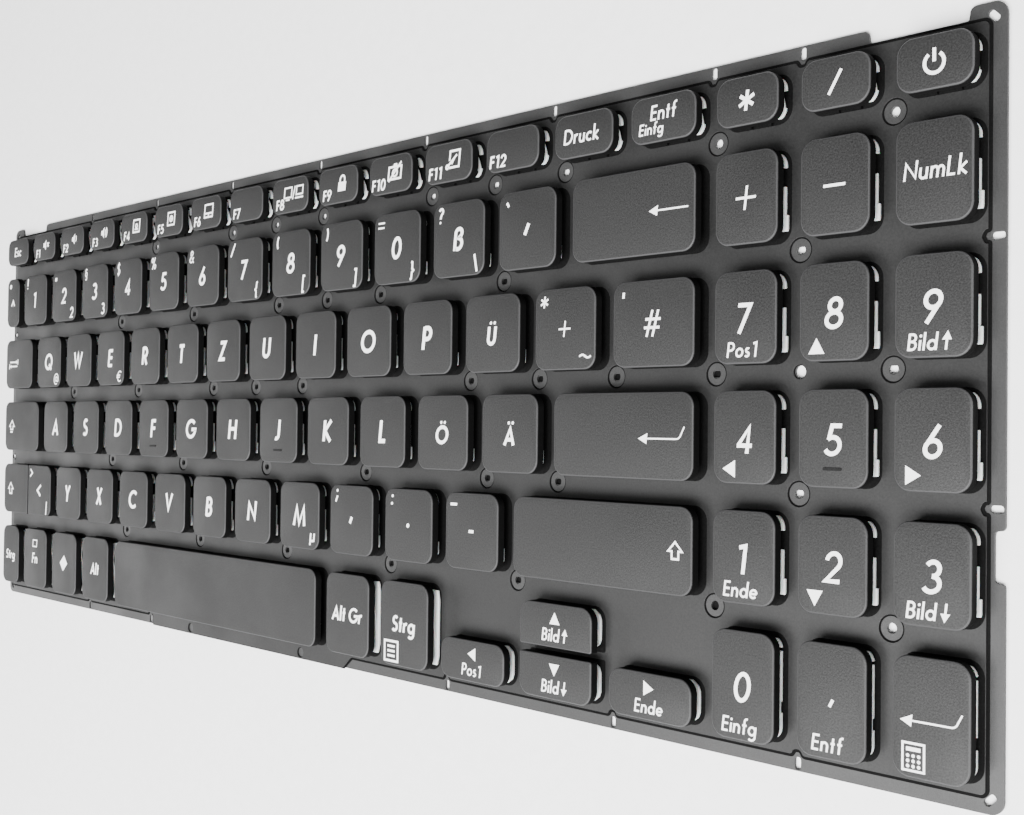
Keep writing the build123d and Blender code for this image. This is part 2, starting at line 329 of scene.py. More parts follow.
@dataclass
class MeshDraft:
    """Points and faces gathered for one piece, in millimetres.

    Args:
        points: corner points of the faces.
        faces: point numbers of each face.
        rim_highlights: strength of the painted highlight at each point, from 0 to 1.
        finish_of: number of each face's finish.
        finish: number of the finish that new faces get.
    """

    points: list[Solid] = field(default_factory=list)
    faces: list[tuple[int, ...]] = field(default_factory=list)
    rim_highlights: list[float] = field(default_factory=list)
    finish_of: list[int] = field(default_factory=list)
    finish: int = 0

    def add_points(self, points: Iterable[Solid], rim: float = 0.0) -> list[int]:
        """Adds points that share one strength of painted highlight.

        Args:
            points: the points.
            rim: their strength of painted highlight, from 0 to 1.

        Returns:
            Their numbers.
        """
        first = len(self.points)
        self.points.extend(points)
        self.rim_highlights.extend([rim] * (len(self.points) - first))
        return list(range(first, len(self.points)))

    def add_face(self, corners: Sequence[int]) -> None:
        """Adds a face in the draft's current finish.

        Args:
            corners: numbers of its points, counter-clockwise from outside.
        """
        self.faces.append(tuple(corners))
        self.finish_of.append(self.finish)

    def skin(self, rings: Sequence[Sequence[Solid]], rim_highlights: Sequence[float] | None = None, shaded_bands: int = 0,
             looped: bool = False) -> None:
        """Skins a walk of equal rings, counter-clockwise when seen from its end, and closes it.

        Args:
            rings: the rings, from the start of the walk to its end.
            rim_highlights: strength of the painted highlight on each ring.
            shaded_bands: how many bands at the start take the next finish; on the keycaps that is the darker
                skirt, which paints shade on the side walls.
            looped: joins the last ring to the first, in place of closing both ends.
        """
        rows = [self.add_points(ring, rim_highlights[row] if rim_highlights else 0.0) for row, ring in enumerate(rings)]
        count = len(rows[0])
        coat = self.finish
        for band, (below, above) in enumerate(zip(rows, rows[1:] + rows[:1] if looped else rows[1:])):
            self.finish = coat + 1 if band < shaded_bands else coat
            for index in range(count):
                onward = (index + 1) % count
                self.add_face((below[index], below[onward], above[onward], above[index]))
        self.finish = coat
        if not looped:
            self.add_face(rows[0][::-1])
            self.add_face(rows[-1])

    def beam(self, start: Solid, end: Solid, width: float, heights: tuple[float, float]) -> None:
        """Adds a bar between two points, with its height at each end.

        Args:
            start: middle of the first end.
            end: middle of the second end.
            width: size across, in plan.
            heights: upright size at the first and second end.
        """
        flat = Vector((end[0] - start[0], end[1] - start[1])).normalized()
        across = Vector((flat.y, -flat.x)) * width / 2
        rings = []
        for middle, height in zip((start, end), heights):
            low, high = middle[2] - height / 2, middle[2] + height / 2
            left = (middle[0] - across.x, middle[1] - across.y)
            right = (middle[0] + across.x, middle[1] + across.y)
            rings.append([(*left, low), (*left, high), (*right, high), (*right, low)])
        self.skin(rings)

    def patch(self, outline: Sequence[Point], low: float, high: float) -> None:
        """Adds a flat plate of the given outline.

        Args:
            outline: points of its outline, either way round.
            low: height of its underside.
            high: height of its top.
        """
        ring = list(outline) if loop_area(outline) > 0 else list(outline)[::-1]
        self.skin([[(*point, low) for point in ring], [(*point, high) for point in ring]])

    def build(self, name: str, finishes: Sequence["Finish"], bevel: float = 0.0) -> bpy.types.Object:
        """Makes the piece's object.

        Args:
            name: the object's name.
            finishes: the finishes that the faces number.
            bevel: width of the flats along sharp edges, in millimetres.

        Returns:
            The object, at the origin, with its place in its mesh.
        """
        mesh = bpy.data.meshes.new(name)
        mesh.from_pydata([tuple(value * MM for value in point) for point in self.points], [], self.faces)
        for finish in finishes:
            mesh.materials.append(finish.material())
        mesh.polygons.foreach_set("material_index", self.finish_of)
        # The rim attribute holds how strong the painted highlight is at each point.
        rim = mesh.attributes.new("rim", "FLOAT", "POINT")
        rim.data.foreach_set("value", self.rim_highlights)
        piece = link(name, mesh)
        if bevel:
            flats = piece.modifiers.new("edges", "BEVEL")
            flats.width = bevel * MM
            flats.segments = 1
            flats.limit_method = "ANGLE"
            plain_mesh(piece)
        smooth(piece.data)
        return piece


def link(name: str, data: bpy.types.ID) -> bpy.types.Object:
    """Makes an object and puts it in the scene.

    Args:
        name: the object's name.
        data: its mesh, curve, lamp or camera.

    Returns:
        The object.
    """
    made = bpy.data.objects.new(name, data)
    bpy.context.scene.collection.objects.link(made)
    return made


def plain_mesh(piece: bpy.types.Object) -> None:
    """Turns a piece's evaluated shape into its own mesh and drops its modifiers.

    Args:
        piece: the piece.
    """
    evaluated = piece.evaluated_get(bpy.context.evaluated_depsgraph_get())
    mesh = bpy.data.meshes.new_from_object(evaluated)
    piece.modifiers.clear()
    piece.data = mesh


def smooth(mesh: bpy.types.Mesh, limit: float = 32.0) -> None:
    """Shades a mesh smooth, but for its sharp edges.

    Args:
        mesh: the mesh.
        limit: angle past which an edge stays sharp, in degrees.
    """
    mesh.shade_smooth()
    mesh.set_sharp_from_angle(angle=math.radians(limit))


class NodeTree:
    """Short hand for building a node tree."""

    def __init__(self, tree: bpy.types.NodeTree) -> None:
        """Keeps the tree that is being built."""
        self.tree = tree

    def add(self, kind: str, settings: dict[str, object] | None = None, **inputs: object) -> bpy.types.Node:
        """Adds a node.

        Args:
            kind: the node's type.
            settings: properties of the node.
            inputs: values or outputs for its inputs, with underscores for blanks in their names.

        Returns:
            The new node.
        """
        node = self.tree.nodes.new(kind)
        for name, value in (settings or {}).items():
            setattr(node, name, value)
        for name, value in inputs.items():
            self.feed(node.inputs[name.replace("_", " ")], value)
        return node

    def feed(self, socket: bpy.types.NodeSocket, value: object) -> None:
        """Links an output to an input, or sets the input's own value.

        Args:
            socket: the input.
            value: an output, or a value.
        """
        if isinstance(value, bpy.types.NodeSocket):
            self.tree.links.new(value, socket)
        else:
            socket.default_value = value


def moulded_grain() -> bpy.types.NodeTree:
    """Shader group for fine moulded grain and broad handling marks.

    Returns:
        The group, with the outputs Grain and Handling, both from 0 to 1.
    """
    name = "moulded_grain"
    if name in bpy.data.node_groups:
        return bpy.data.node_groups[name]
    group = bpy.data.node_groups.new(name, "ShaderNodeTree")
    for label, value in (("Grain Scale", 4000.0), ("Handling Scale", 60.0)):
        group.interface.new_socket(label, in_out="INPUT", socket_type="NodeSocketFloat").default_value = value
    for label in ("Grain", "Handling"):
        group.interface.new_socket(label, in_out="OUTPUT", socket_type="NodeSocketFloat")
    tree = NodeTree(group)
    given = tree.add("NodeGroupInput").outputs
    place = tree.add("ShaderNodeTexCoord").outputs["Object"]
    fine = tree.add("ShaderNodeTexNoise", Vector=place, Scale=given["Grain Scale"], Detail=3.0, Roughness=0.6)
    grain = tree.add("ShaderNodeMapRange", Value=fine.outputs["Fac"], From_Min=0.3, From_Max=0.7)
    broad = tree.add("ShaderNodeTexNoise", Vector=place, Scale=given["Handling Scale"], Detail=4.0)
    marks = tree.add("ShaderNodeMapRange", Value=broad.outputs["Fac"], From_Min=0.35, From_Max=0.65)
    out = tree.add("NodeGroupOutput")
    tree.feed(out.inputs["Grain"], grain.outputs["Result"])
    tree.feed(out.inputs["Handling"], marks.outputs["Result"])
    return group


@dataclass(frozen=True)
class Finish:
    """Moulded, printed or coated surface with grain, handling marks and a painted highlight on rounded edges.

    Args:
        name: the material's name.
        dark: colour in the hollows of the grain.
        light: colour on its tips.
        rough: roughness where clean and where handled.
        grain: size of the grain, in millimetres.
        relief: height of the grain, in millimetres.
        handling: size of the handling marks, in millimetres.
        rim: colour of the painted highlight that rounded edges go to.
        metal: metallic share.
        specular: strength of the gloss.
        subsurface: share of light that passes into the surface.
    """

    name: str
    dark: Colour
    light: Colour
    rough: tuple[float, float]
    grain: float
    relief: float
    handling: float = 16.0
    rim: Colour | None = None
    metal: float = 0.0
    specular: float = 0.5
    subsurface: float = 0.0

    def material(self) -> bpy.types.Material:
        """The finish's material, made at its first use."""
        made = bpy.data.materials.get(self.name)
        return made or self._make()

    def _make(self) -> bpy.types.Material:
        """Builds the material's nodes.

        Returns:
            The material.
        """
        made = bpy.data.materials.new(self.name)
        made.use_nodes = True
        tree = NodeTree(made.node_tree)
        shader = made.node_tree.nodes["Principled BSDF"]
        marks = tree.add("ShaderNodeGroup", {"node_tree": moulded_grain()})
        marks.inputs["Grain Scale"].default_value = 1 / (self.grain * MM)
        marks.inputs["Handling Scale"].default_value = 1 / (self.handling * MM)
        grain, handled = marks.outputs["Grain"], marks.outputs["Handling"]
        colour = self._mix(tree, grain, (*self.dark, 1), (*self.light, 1))
        # Painted highlight: rounded edges are lightened towards the rim colour.
        if self.rim:
            edge = tree.add("ShaderNodeAttribute", {"attribute_name": "rim"}).outputs["Fac"]
            colour = self._mix(tree, edge, colour, (*self.rim, 1))
        rough = tree.add("ShaderNodeMapRange", Value=handled, To_Min=self.rough[0], To_Max=self.rough[1])
        bump = tree.add("ShaderNodeBump", Height=grain, Strength=1.0, Distance=self.relief * MM)
        tree.feed(shader.inputs["Base Color"], colour)
        tree.feed(shader.inputs["Roughness"], rough.outputs["Result"])
        tree.feed(shader.inputs["Normal"], bump.outputs["Normal"])
        shader.inputs["Metallic"].default_value = self.metal
        shader.inputs["Specular IOR Level"].default_value = self.specular
        shader.inputs["Subsurface Weight"].default_value = self.subsurface
        shader.inputs["Subsurface Scale"].default_value = MM
        return made

    @staticmethod
    def _mix(tree: NodeTree, share: bpy.types.NodeSocket, first: object,
             second: object) -> bpy.types.NodeSocket:
        """Mixes two colours.

        Args:
            tree: the material's nodes.
            share: share of the second colour.
            first: first colour, or the output that gives it.
            second: second colour, or the output that gives it.

        Returns:
            Output with the mixed colour.
        """
        node = tree.add("ShaderNodeMix", {"data_type": "RGBA"})
        tree.feed(node.inputs["Factor"], share)
        tree.feed(node.inputs[6], first)
        tree.feed(node.inputs[7], second)
        return node.outputs[2]


def grey(level: float) -> Colour:
    """Colour with one level in all its channels."""
    return level, level, level


# The keycap's rim colour is a painted highlight along its rolled top edge.
KEYCAP = Finish("keycap_top_black", grey(0.005), grey(0.023), rough=(0.5, 0.62), grain=0.28, relief=0.016,
                rim=(0.04, 0.04, 0.041), specular=0.31)
# The skirt is the keycap's black made darker than its top, which paints shade on the side walls.
SKIRT_SHADE = Finish("keycap_skirt_black", grey(0.003), grey(0.006), rough=(0.55, 0.65), grain=0.3, relief=0.004,
               specular=0.05)
HOMING = Finish("homing_bar_black", grey(0.006), grey(0.012), rough=(0.5, 0.6), grain=0.2, relief=0.004,
                specular=0.1)
LEGEND = Finish("legend_white", (0.9, 0.9, 0.89), (0.97, 0.97, 0.96), rough=(0.45, 0.6), grain=0.15,
                relief=0.003)
PLATE = Finish("plate_coat_grey", grey(0.016), grey(0.032), rough=(0.42, 0.54), grain=0.14, relief=0.005,
               specular=0.4)
FILM = Finish("film_black", grey(0.008), grey(0.016), rough=(0.45, 0.58), grain=0.3, relief=0.003,
              specular=0.33)
# Near-black that paints shade: the film's shadow border, the patches under the keys and the discs in the
# stake holes; also the real black of the lever hooks.
SHADE_AND_HOOK_BLACK = Finish("groove_black", grey(0.003), grey(0.006), rough=(0.6, 0.7), grain=0.3, relief=0.003,
                specular=0.03)
LEVER = Finish("lever_pale", (0.64, 0.65, 0.64), (0.74, 0.75, 0.74), rough=(0.35, 0.5), grain=0.4,
               relief=0.004, subsurface=0.15)
DOME = Finish("dome_silicone", (0.3, 0.31, 0.31), (0.38, 0.39, 0.39), rough=(0.4, 0.5), grain=0.4,
              relief=0.004, subsurface=0.2)
WIRE = Finish("wire_steel", grey(0.45), grey(0.6), rough=(0.25, 0.4), grain=0.2, relief=0.003, metal=1.0)
PAPER = Finish("studio_paper", grey(0.86), grey(0.9), rough=(0.85, 0.95), grain=3.0, relief=0.01)

# Glyphs are drawn in strokes on a cap height of one. The first number is the width. Strokes are parted by
# bars and hold points; @ starts an arc (middle, radii, first and last angle), # a filled patch, and * a dot
# (middle, radius).
GLYPHS = {
    "A": ".74|.03,0 .37,.9 .71,0|.16,.3 .58,.3",
    "B": ".56|.06,0 .06,1|.06,.94 .25,.94 @.25,.73,.21,.21,90,-90 .06,.52"
         "|.26,.52 @.26,.29,.24,.23,90,-90 .06,.06",
    "C": ".84|@.5,.5,.44,.44,46,314",
    "D": ".76|.06,0 .06,1|.06,.94 .28,.94 @.28,.5,.42,.44,90,-90 .06,.06",
    "E": ".5|.06,0 .06,1|.06,.94 .48,.94|.06,.52 .46,.52|.06,.06 .48,.06",
    "F": ".48|.06,0 .06,1|.06,.94 .46,.94|.06,.52 .44,.52",
    "G": ".96|@.5,.5,.44,.44,44,352 .94,.47 .56,.47",
    "H": ".72|.07,0 .07,1|.65,0 .65,1|.07,.53 .65,.53",
    "I": ".12|.06,0 .06,1",
    "J": ".36|.3,1 .3,.25 @.1,.25,.2,.19,0,-115",
    "K": ".6|.06,0 .06,1|.55,1 .1,.5 .58,0",
    "L": ".46|.06,1 .06,.06 .44,.06",
    "M": ".92|.03,0 .17,.91 .46,.1 .75,.91 .89,0",
    "N": ".72|.06,0 .06,.88 .66,.12 .66,1",
    "O": "1|@.5,.5,.44,.44,0,360",
    "P": ".54|.06,0 .06,1|.06,.94 .26,.94 @.26,.7,.23,.24,90,-90 .06,.46",
    "Q": "1|@.5,.5,.44,.44,0,360|.58,.34 .94,0",
    "R": ".56|.06,0 .06,1|.06,.94 .26,.94 @.26,.7,.23,.24,90,-90 .06,.46|.24,.46 .52,0",
    "S": ".54|@.29,.73,.19,.21,35,255 @.27,.28,.22,.22,75,-145",
    "T": ".5|.25,0 .25,.94|0,.94 .5,.94",
    "U": ".62|.06,1 .06,.32 @.31,.32,.25,.26,180,360 .56,1",
    "V": ".7|.03,1 .35,.1 .67,1",
    "W": "1.04|.03,1 .28,.1 .52,.9 .76,.1 1.01,1",
    "X": ".58|.03,0 .55,1|.03,1 .55,0",
    "Y": ".6|.03,1 .3,.46 .57,1|.3,.5 .3,0",
    "Z": ".56|.04,.94 .5,.94 .05,.06 .54,.06",
    "Ä": ".74|.03,0 .37,.9 .71,0|.16,.3 .58,.3|*.22,1.2,.09|*.52,1.2,.09",
    "Ö": "1|@.5,.5,.44,.44,0,360|*.35,1.2,.09|*.65,1.2,.09",
    "Ü": ".62|.06,1 .06,.32 @.31,.32,.25,.26,180,360 .56,1|*.16,1.2,.09|*.46,1.2,.09",
    "ß": ".54|.06,0 .06,.76 @.26,.76,.2,.18,180,-60 .26,.54 @.26,.3,.24,.24,90,-125",
    "µ": ".54|.06,.6 .06,-.25|.06,.22 @.27,.22,.21,.17,180,360|.48,.6 .48,0",
    "0": ".64|@.32,.5,.26,.44,0,360",
    "1": ".46|.08,.87 .32,.93 .32,0",
    "2": ".62|@.32,.68,.24,.26,172,-38 .1,.07 .6,.07",
    "3": ".62|@.3,.73,.21,.21,150,-90|@.3,.29,.26,.23,90,-150",
    "4": ".66|.47,0 .47,.86 .09,.26|.05,.26 .64,.26",
    "5": ".62|.56,.94 .22,.94 .15,.5|@.3,.32,.26,.26,132,-150",
    "6": ".6|.44,1 .1,.42|@.3,.3,.24,.24,0,360",
    "7": ".6|.03,.94 .52,.94 .17,0",
    "8": ".64|@.32,.74,.2,.2,0,360|@.32,.29,.26,.23,0,360",
    "9": ".6|.16,0 .5,.58|@.3,.7,.24,.24,0,360",
    "c": ".5|@.3,.31,.24,.25,48,312",
    "d": ".62|@.3,.31,.24,.25,0,360|.56,0 .56,1.05",
    "e": ".58|.06,.31 .54,.31|@.3,.31,.24,.25,0,318",
    "f": ".36|@.33,.86,.16,.14,70,180 .17,0|.02,.58 .34,.58",
    "g": ".62|@.3,.31,.24,.25,0,360|.56,.6 .56,-.08 @.32,-.08,.24,.2,0,-145",
    "i": ".14|.07,0 .07,.6|*.07,.84,.085",
    "k": ".48|.06,0 .06,1.05|.42,.6 .1,.31 .46,0",
    "l": ".13|.06,0 .06,1.05",
    "m": ".78|.06,0 .06,.6|.06,.36 @.23,.36,.17,.2,180,0 .4,0|.4,.36 @.56,.36,.16,.2,180,0 .72,0",
    "n": ".53|.06,0 .06,.6|.06,.33 @.26,.33,.2,.23,180,0 .46,0",
    "o": ".6|@.3,.31,.24,.25,0,360",
    "r": ".34|.06,0 .06,.6|.06,.34 @.27,.34,.21,.22,180,75",
    "s": ".38|@.2,.45,.12,.12,40,260 @.18,.18,.14,.13,80,-150",
    "t": ".33|.16,0 .16,.9|.02,.57 .3,.57",
    "u": ".49|.06,.6 .06,.24 @.24,.24,.18,.19,180,360|.42,.6 .42,0",
    " ": ".16",
    "^": ".56|.05,.6 .28,.95 .51,.6",
    "°": ".4|@.2,.84,.14,.14,0,360",
    "!": ".2|.1,.3 .1,1|*.1,.08,.08",
    "\"": ".34|.06,1 .06,.68|.28,1 .28,.68",
    "§": ".48|@.24,.82,.14,.14,35,250 @.24,.5,.16,.18,70,-90"
         "|@.24,.5,.16,.18,110,270 @.24,.16,.14,.14,70,-145",
    "$": ".54|@.29,.73,.19,.21,35,255 @.27,.28,.22,.22,75,-145|.28,-.1 .28,1.1",
    "%": ".78|@.18,.77,.13,.17,0,360|@.6,.23,.13,.17,0,360|.58,1 .2,0",
    "&": ".7|.66,0 .2,.62 @.33,.78,.15,.16,205,-25 .14,.4 @.29,.24,.22,.18,140,300 .64,.46",
    "/": ".5|.02,0 .5,1",
    "(": ".22|@.56,.5,.46,.68,140,220",
    ")": ".22|@-.34,.5,.46,.68,40,-40",
    "=": ".66|0,.66 .66,.66|0,.34 .66,.34",
    "?": ".46|@.24,.76,.17,.18,165,-60 .24,.44 .24,.3|*.24,.07,.08",
    "´": ".3|.24,.9 .06,.44",
    "`": ".3|.04,.98 .24,.72",
    "{": ".36|.34,1.05 .22,1 .2,.6 .06,.48 .2,.36 .22,-.05 .34,-.1",
    "}": ".36|0,1.05 .12,1 .14,.6 .28,.48 .14,.36 .12,-.05 0,-.1",
    "[": ".32|.3,1.05 .08,1.05 .08,-.1 .3,-.1",
    "]": ".3|0,1.05 .22,1.05 .22,-.1 0,-.1",
    "\\": ".44|.04,1.05 .4,-.05",
    "+": ".8|0,.5 .8,.5|.4,.1 .4,.9",
    "*": ".6|.3,.98 .3,.3|.02,.81 .58,.47|.02,.47 .58,.81",
    "~": ".9|@.23,.42,.22,.14,165,25 @.67,.54,.22,.14,205,345",
    "#": ".8|.18,0 .34,1|.46,0 .62,1|.04,.66 .78,.66|.02,.34 .76,.34",
    "'": ".14|.07,1 .07,.68",
    "@": ".96|@.48,.44,.18,.2,0,360|.68,.64 .66,.3 @.78,.32,.13,.12,190,350 @.48,.44,.42,.48,10,300",
    "€": ".8|@.52,.5,.36,.44,50,310|0,.6 .6,.6|0,.42 .56,.42",
    "<": ".6|.56,.85 .08,.5 .56,.15",
    ">": ".6|.04,.85 .52,.5 .04,.15",
    "|": ".12|.06,-.15 .06,1.1",
    ",": ".24|.17,.16 .05,-.14",
    ";": ".24|.2,.24 .04,-.18|*.14,.6,.1",
    ".": ".2|*.1,.1,.1",
    ":": ".2|*.1,.1,.1|*.1,.6,.1",
    "-": ".4|0,.38 .4,.38",
    "_": ".6|0,0 .6,0",
    "↑": ".74|.44,0 .44,.7|#.14,.58 .74,.58 .44,1.1",
    "↓": ".74|.44,1.06 .44,.4|#.14,.47 .44,-.05 .74,.47",
    "▲": "1.1|#0,0 1.1,0 .55,.95",
    "▼": "1.1|#0,.95 .55,0 1.1,.95",
    "◄": ".95|#0,.55 .95,0 .95,1.1",
    "►": ".95|#0,0 .95,.55 0,1.1",
    "←": "4.2|.7,.5 4.2,.5|#0,.5 .95,.05 .95,.95",
    "↵": "4.8|.7,.5 4.0,.5 @4.02,.95,.45,.45,-90,-12 4.72,1.5|#0,.5 .95,.05 .95,.95",
    "⇧": "1.1|.55,1.05 1.08,.5 .8,.5 .8,.04 .3,.04 .3,.5 .02,.5 .55,1.05",
    "↹": "2.4|.1,.1 .1,.7|.5,.4 2.2,.4|#.15,.4 .6,.18 .6,.62"
         "|2.3,.6 2.3,1.2|.2,.9 1.9,.9|#2.25,.9 1.8,.68 1.8,1.12",
    "⇪": "1.1|.55,1.15 1.08,.6 .8,.6 .8,.3 .3,.3 .3,.6 .02,.6 .55,1.15|.3,.06 .8,.06",
    "◆": "1|#.5,0 1,.5 .5,1 0,.5",
    "▭": "1.2|.06,.1 1.14,.1 1.14,.9 .06,.9 .06,.1",
    "⏻": "1|@.5,.46,.4,.4,125,415|.5,.5 .5,1.02",
    "▤": "1.1|.06,.06 1.04,.06 1.04,1 .06,1 .06,.06|.28,.3 .82,.3|.28,.53 .82,.53|.28,.76 .82,.76",
    "▦": "1|.05,.05 .95,.05 .95,1.1 .05,1.1 .05,.05|#.2,.8 .8,.8 .8,.95 .2,.95|*.27,.62,.07|*.5,.62,.07"
         "|*.73,.62,.07|*.27,.42,.07|*.5,.42,.07|*.73,.42,.07|*.27,.22,.07|*.5,.22,.07|*.73,.22,.07",
    "mute": "1.2|#0,.32 .22,.32 .5,.05 .5,.95 .22,.68 0,.68|.68,.32 1.04,.68|.68,.68 1.04,.32",
    "louder": "1.2|#0,.32 .22,.32 .5,.05 .5,.95 .22,.68 0,.68|@.5,.5,.24,.3,50,-50|@.5,.5,.46,.5,50,-50",
    "quieter": "1.1|#0,.32 .22,.32 .5,.05 .5,.95 .22,.68 0,.68|@.5,.5,.26,.3,50,-50",
    "dimmer": "1.1|.06,.06 1.04,.06 1.04,1 .06,1 .06,.06|@.55,.53,.14,.14,0,360|.3,.28 .8,.28",
    "brighter": "1.1|.06,.06 1.04,.06 1.04,1 .06,1 .06,.06|@.55,.53,.2,.2,0,360|*.55,.53,.1",
    "touchpad": "1.2|.06,.05 1.14,.05 1.14,.95 .06,.95 .06,.05|.06,.32 1.14,.32|.6,.05 .6,.32",
    "screens": "2.7|.06,.2 1.06,.2 1.06,1 .06,1 .06,.2|.3,.02 .82,.02|1.25,0 1.5,1.05"
               "|1.72,.34 2.6,.34 2.6,1 1.72,1 1.72,.34|1.6,.08 2.7,.08",
    "padlock": "1|#.1,0 .9,0 .9,.58 .1,.58|.26,.55 .26,.72 @.5,.72,.24,.26,180,0 .74,.55",
    "camera": "1.3|.06,.06 1.24,.06 1.24,.8 .06,.8 .06,.06|@.65,.43,.22,.22,0,360"
              "|#.42,.8 .88,.8 .78,1 .52,1|.1,-.05 1.2,1.05",
    "snip": "1.2|.3,.1 1.14,.1 1.14,1.05 .3,1.05 .3,.5|@.14,.16,.1,.1,0,360|.22,.24 .9,.8|.5,.3 .7,.62",
}


@dataclass(frozen=True)
class Mark:
    """One legend on a keycap.

    Args:
        text: characters, or the name of one glyph.
        size: cap height, in millimetres.
        spot: where on the keycap it sits.
        shift: offset from that spot, in millimetres.
        weight: stroke width as a share of the cap height.
    """

    text: str
    size: float
    spot: Spot = Spot.CENTRE
    shift: Point = (0.0, 0.0)
    weight: float = 0.125


UPRIGHT = "▲▼◄►▤▦⇧⏻"  # signs that don't lean
SAME_POINT = 1e-4  # points of a stroke that are nearer than this are one
LETTER_SIZE = 4.6
UMLAUT_SIZE = 3.5
DIGIT_SIZE = 4.5
PAD_SIZE = 4.8
POINT_SIZE = 3.7
SIGN_SIZE = 3.1
WORD_SIZE = 2.45
PAD_ARROW_SIZE = 2.55
ARROW_SIZE = 2.3
LABEL_SIZE = 2.35
ICON_SIZE = 3.4
WIDE_ICON_SIZE = 2.8
UMLAUTS = {"key_ue": "Ü", "key_oe": "Ö", "key_ae": "Ä"}
DIGIT_SIGNS = {
    "one": ("1", "!", ""), "two": ("2", "\"", "2"), "three": ("3", "§", "3"), "four": ("4", "$", ""),
    "five": ("5", "%", ""), "six": ("6", "&", ""), "seven": ("7", "/", "{"), "eight": ("8", "(", "["),
    "nine": ("9", ")", "]"), "zero": ("0", "=", "}"), "sharp_s": ("ß", "?", "\\"), "acute": ("´", "`", ""),
    "caret": ("^", "°", ""), "plus": ("+", "*", "~"), "hash": ("#", "'", ""), "comma": (",", ";", ""),
    "period": (".", ":", ""), "minus": ("-", "_", ""), "less": ("<", ">", "|"),
}
MAIN_STYLES = {  # size and weight
    "plus": (3.6, 0.09), "hash": (4.5, 0.1), "minus": (3.4, 0.17), "caret": (4.5, 0.14),
}
FINE_SIGNS = "*=~%&§$@€"
LETTER_SIGNS = {"key_q": "@", "key_e": "€", "key_m": "µ"}
FUNCTION_ICONS = {
    "f1": "mute", "f2": "quieter", "f3": "louder", "f4": "dimmer", "f5": "brighter", "f6": "touchpad",
    "f7": "", "f8": "screens", "f9": "padlock", "f10": "camera", "f11": "snip", "f12": "",
}
PAD_WORDS = {
    "pad_7": "Pos1", "pad_9": "Bild↑", "pad_1": "Ende", "pad_3": "Bild↓",
    "pad_0": "Einfg", "pad_comma": "Entf",
}
PAD_ARROWS = {"pad_8": "▲", "pad_4": "◄", "pad_6": "►", "pad_2": "▼"}
ARROW_WORDS = {
    "arrow_left": ("◄", "Pos1"), "arrow_up": ("▲", "Bild↑"),
    "arrow_down": ("▼", "Bild↓"), "arrow_right": ("►", "Ende"),
}
OTHER_MARKS = {
    "esc": (Mark("Esc", 2.7, weight=0.17),),
    "print": (Mark("Druck", 2.7, Spot.CENTRE, (-0.5, 0.0), 0.14),),
    "delete": (Mark("Entf", 2.55, Spot.CENTRE, (0.2, 1.1), 0.14),
               Mark("Einfg", 1.95, Spot.CENTRE, (-2.5, -1.5), 0.15)),
    "star": (Mark("*", 4.8, weight=0.12),),
    "slash": (Mark("/", 3.6, weight=0.14),),
    "power": (Mark("⏻", 3.75, weight=0.14),),
    "pad_plus": (Mark("+", 4.8, weight=0.085),),
    "pad_minus": (Mark("-", 9.4, weight=0.047),),
    "pad_lock": (Mark("NumLk", 2.8, Spot.CENTRE, (0.2, 0.4), 0.125),),
    "pad_enter": (Mark("↵", 1.95, Spot.CENTRE, (0.1, 0.0), 0.14),
                  Mark("▦", 3.7, Spot.LOWER_LEFT, (0.6, 0.6), 0.09)),
    "key_backspace": (Mark("←", 2.0, Spot.EAST_END, (-0.9, 0.0), 0.14),),
    "key_enter": (Mark("↵", 2.05, Spot.EAST_END, (-2.0, 0.1), 0.13),),
    "key_right_shift": (Mark("⇧", 2.8, Spot.EAST_END, (1.2, 0.1), 0.13),),
    "key_left_shift": (Mark("⇧", 3.2, Spot.WEST_END, weight=0.15),),
    "key_tab": (Mark("↹", 2.6, Spot.WEST_END, (0.6, 0.0), 0.17),),
    "caps": (Mark("⇪", 3.2, Spot.WEST_END, weight=0.15),),
    "left_ctrl": (Mark("Strg", 2.7, weight=0.18),),
    "fn": (Mark("Fn", 3.0, weight=0.18), Mark("▭", 2.4, Spot.CENTRE, (0.0, 4.4), 0.14)),
    "system": (Mark("◆", 4.6),),
    "alt": (Mark("Alt", 3.1, weight=0.18),),
    "alt_gr": (Mark("Alt Gr", 3.1, weight=0.18),),
    "right_ctrl": (Mark("Strg", 3.2, weight=0.18), Mark("▤", 4.3, Spot.LOWER_LEFT, (0.8, 0.5), 0.11)),
}


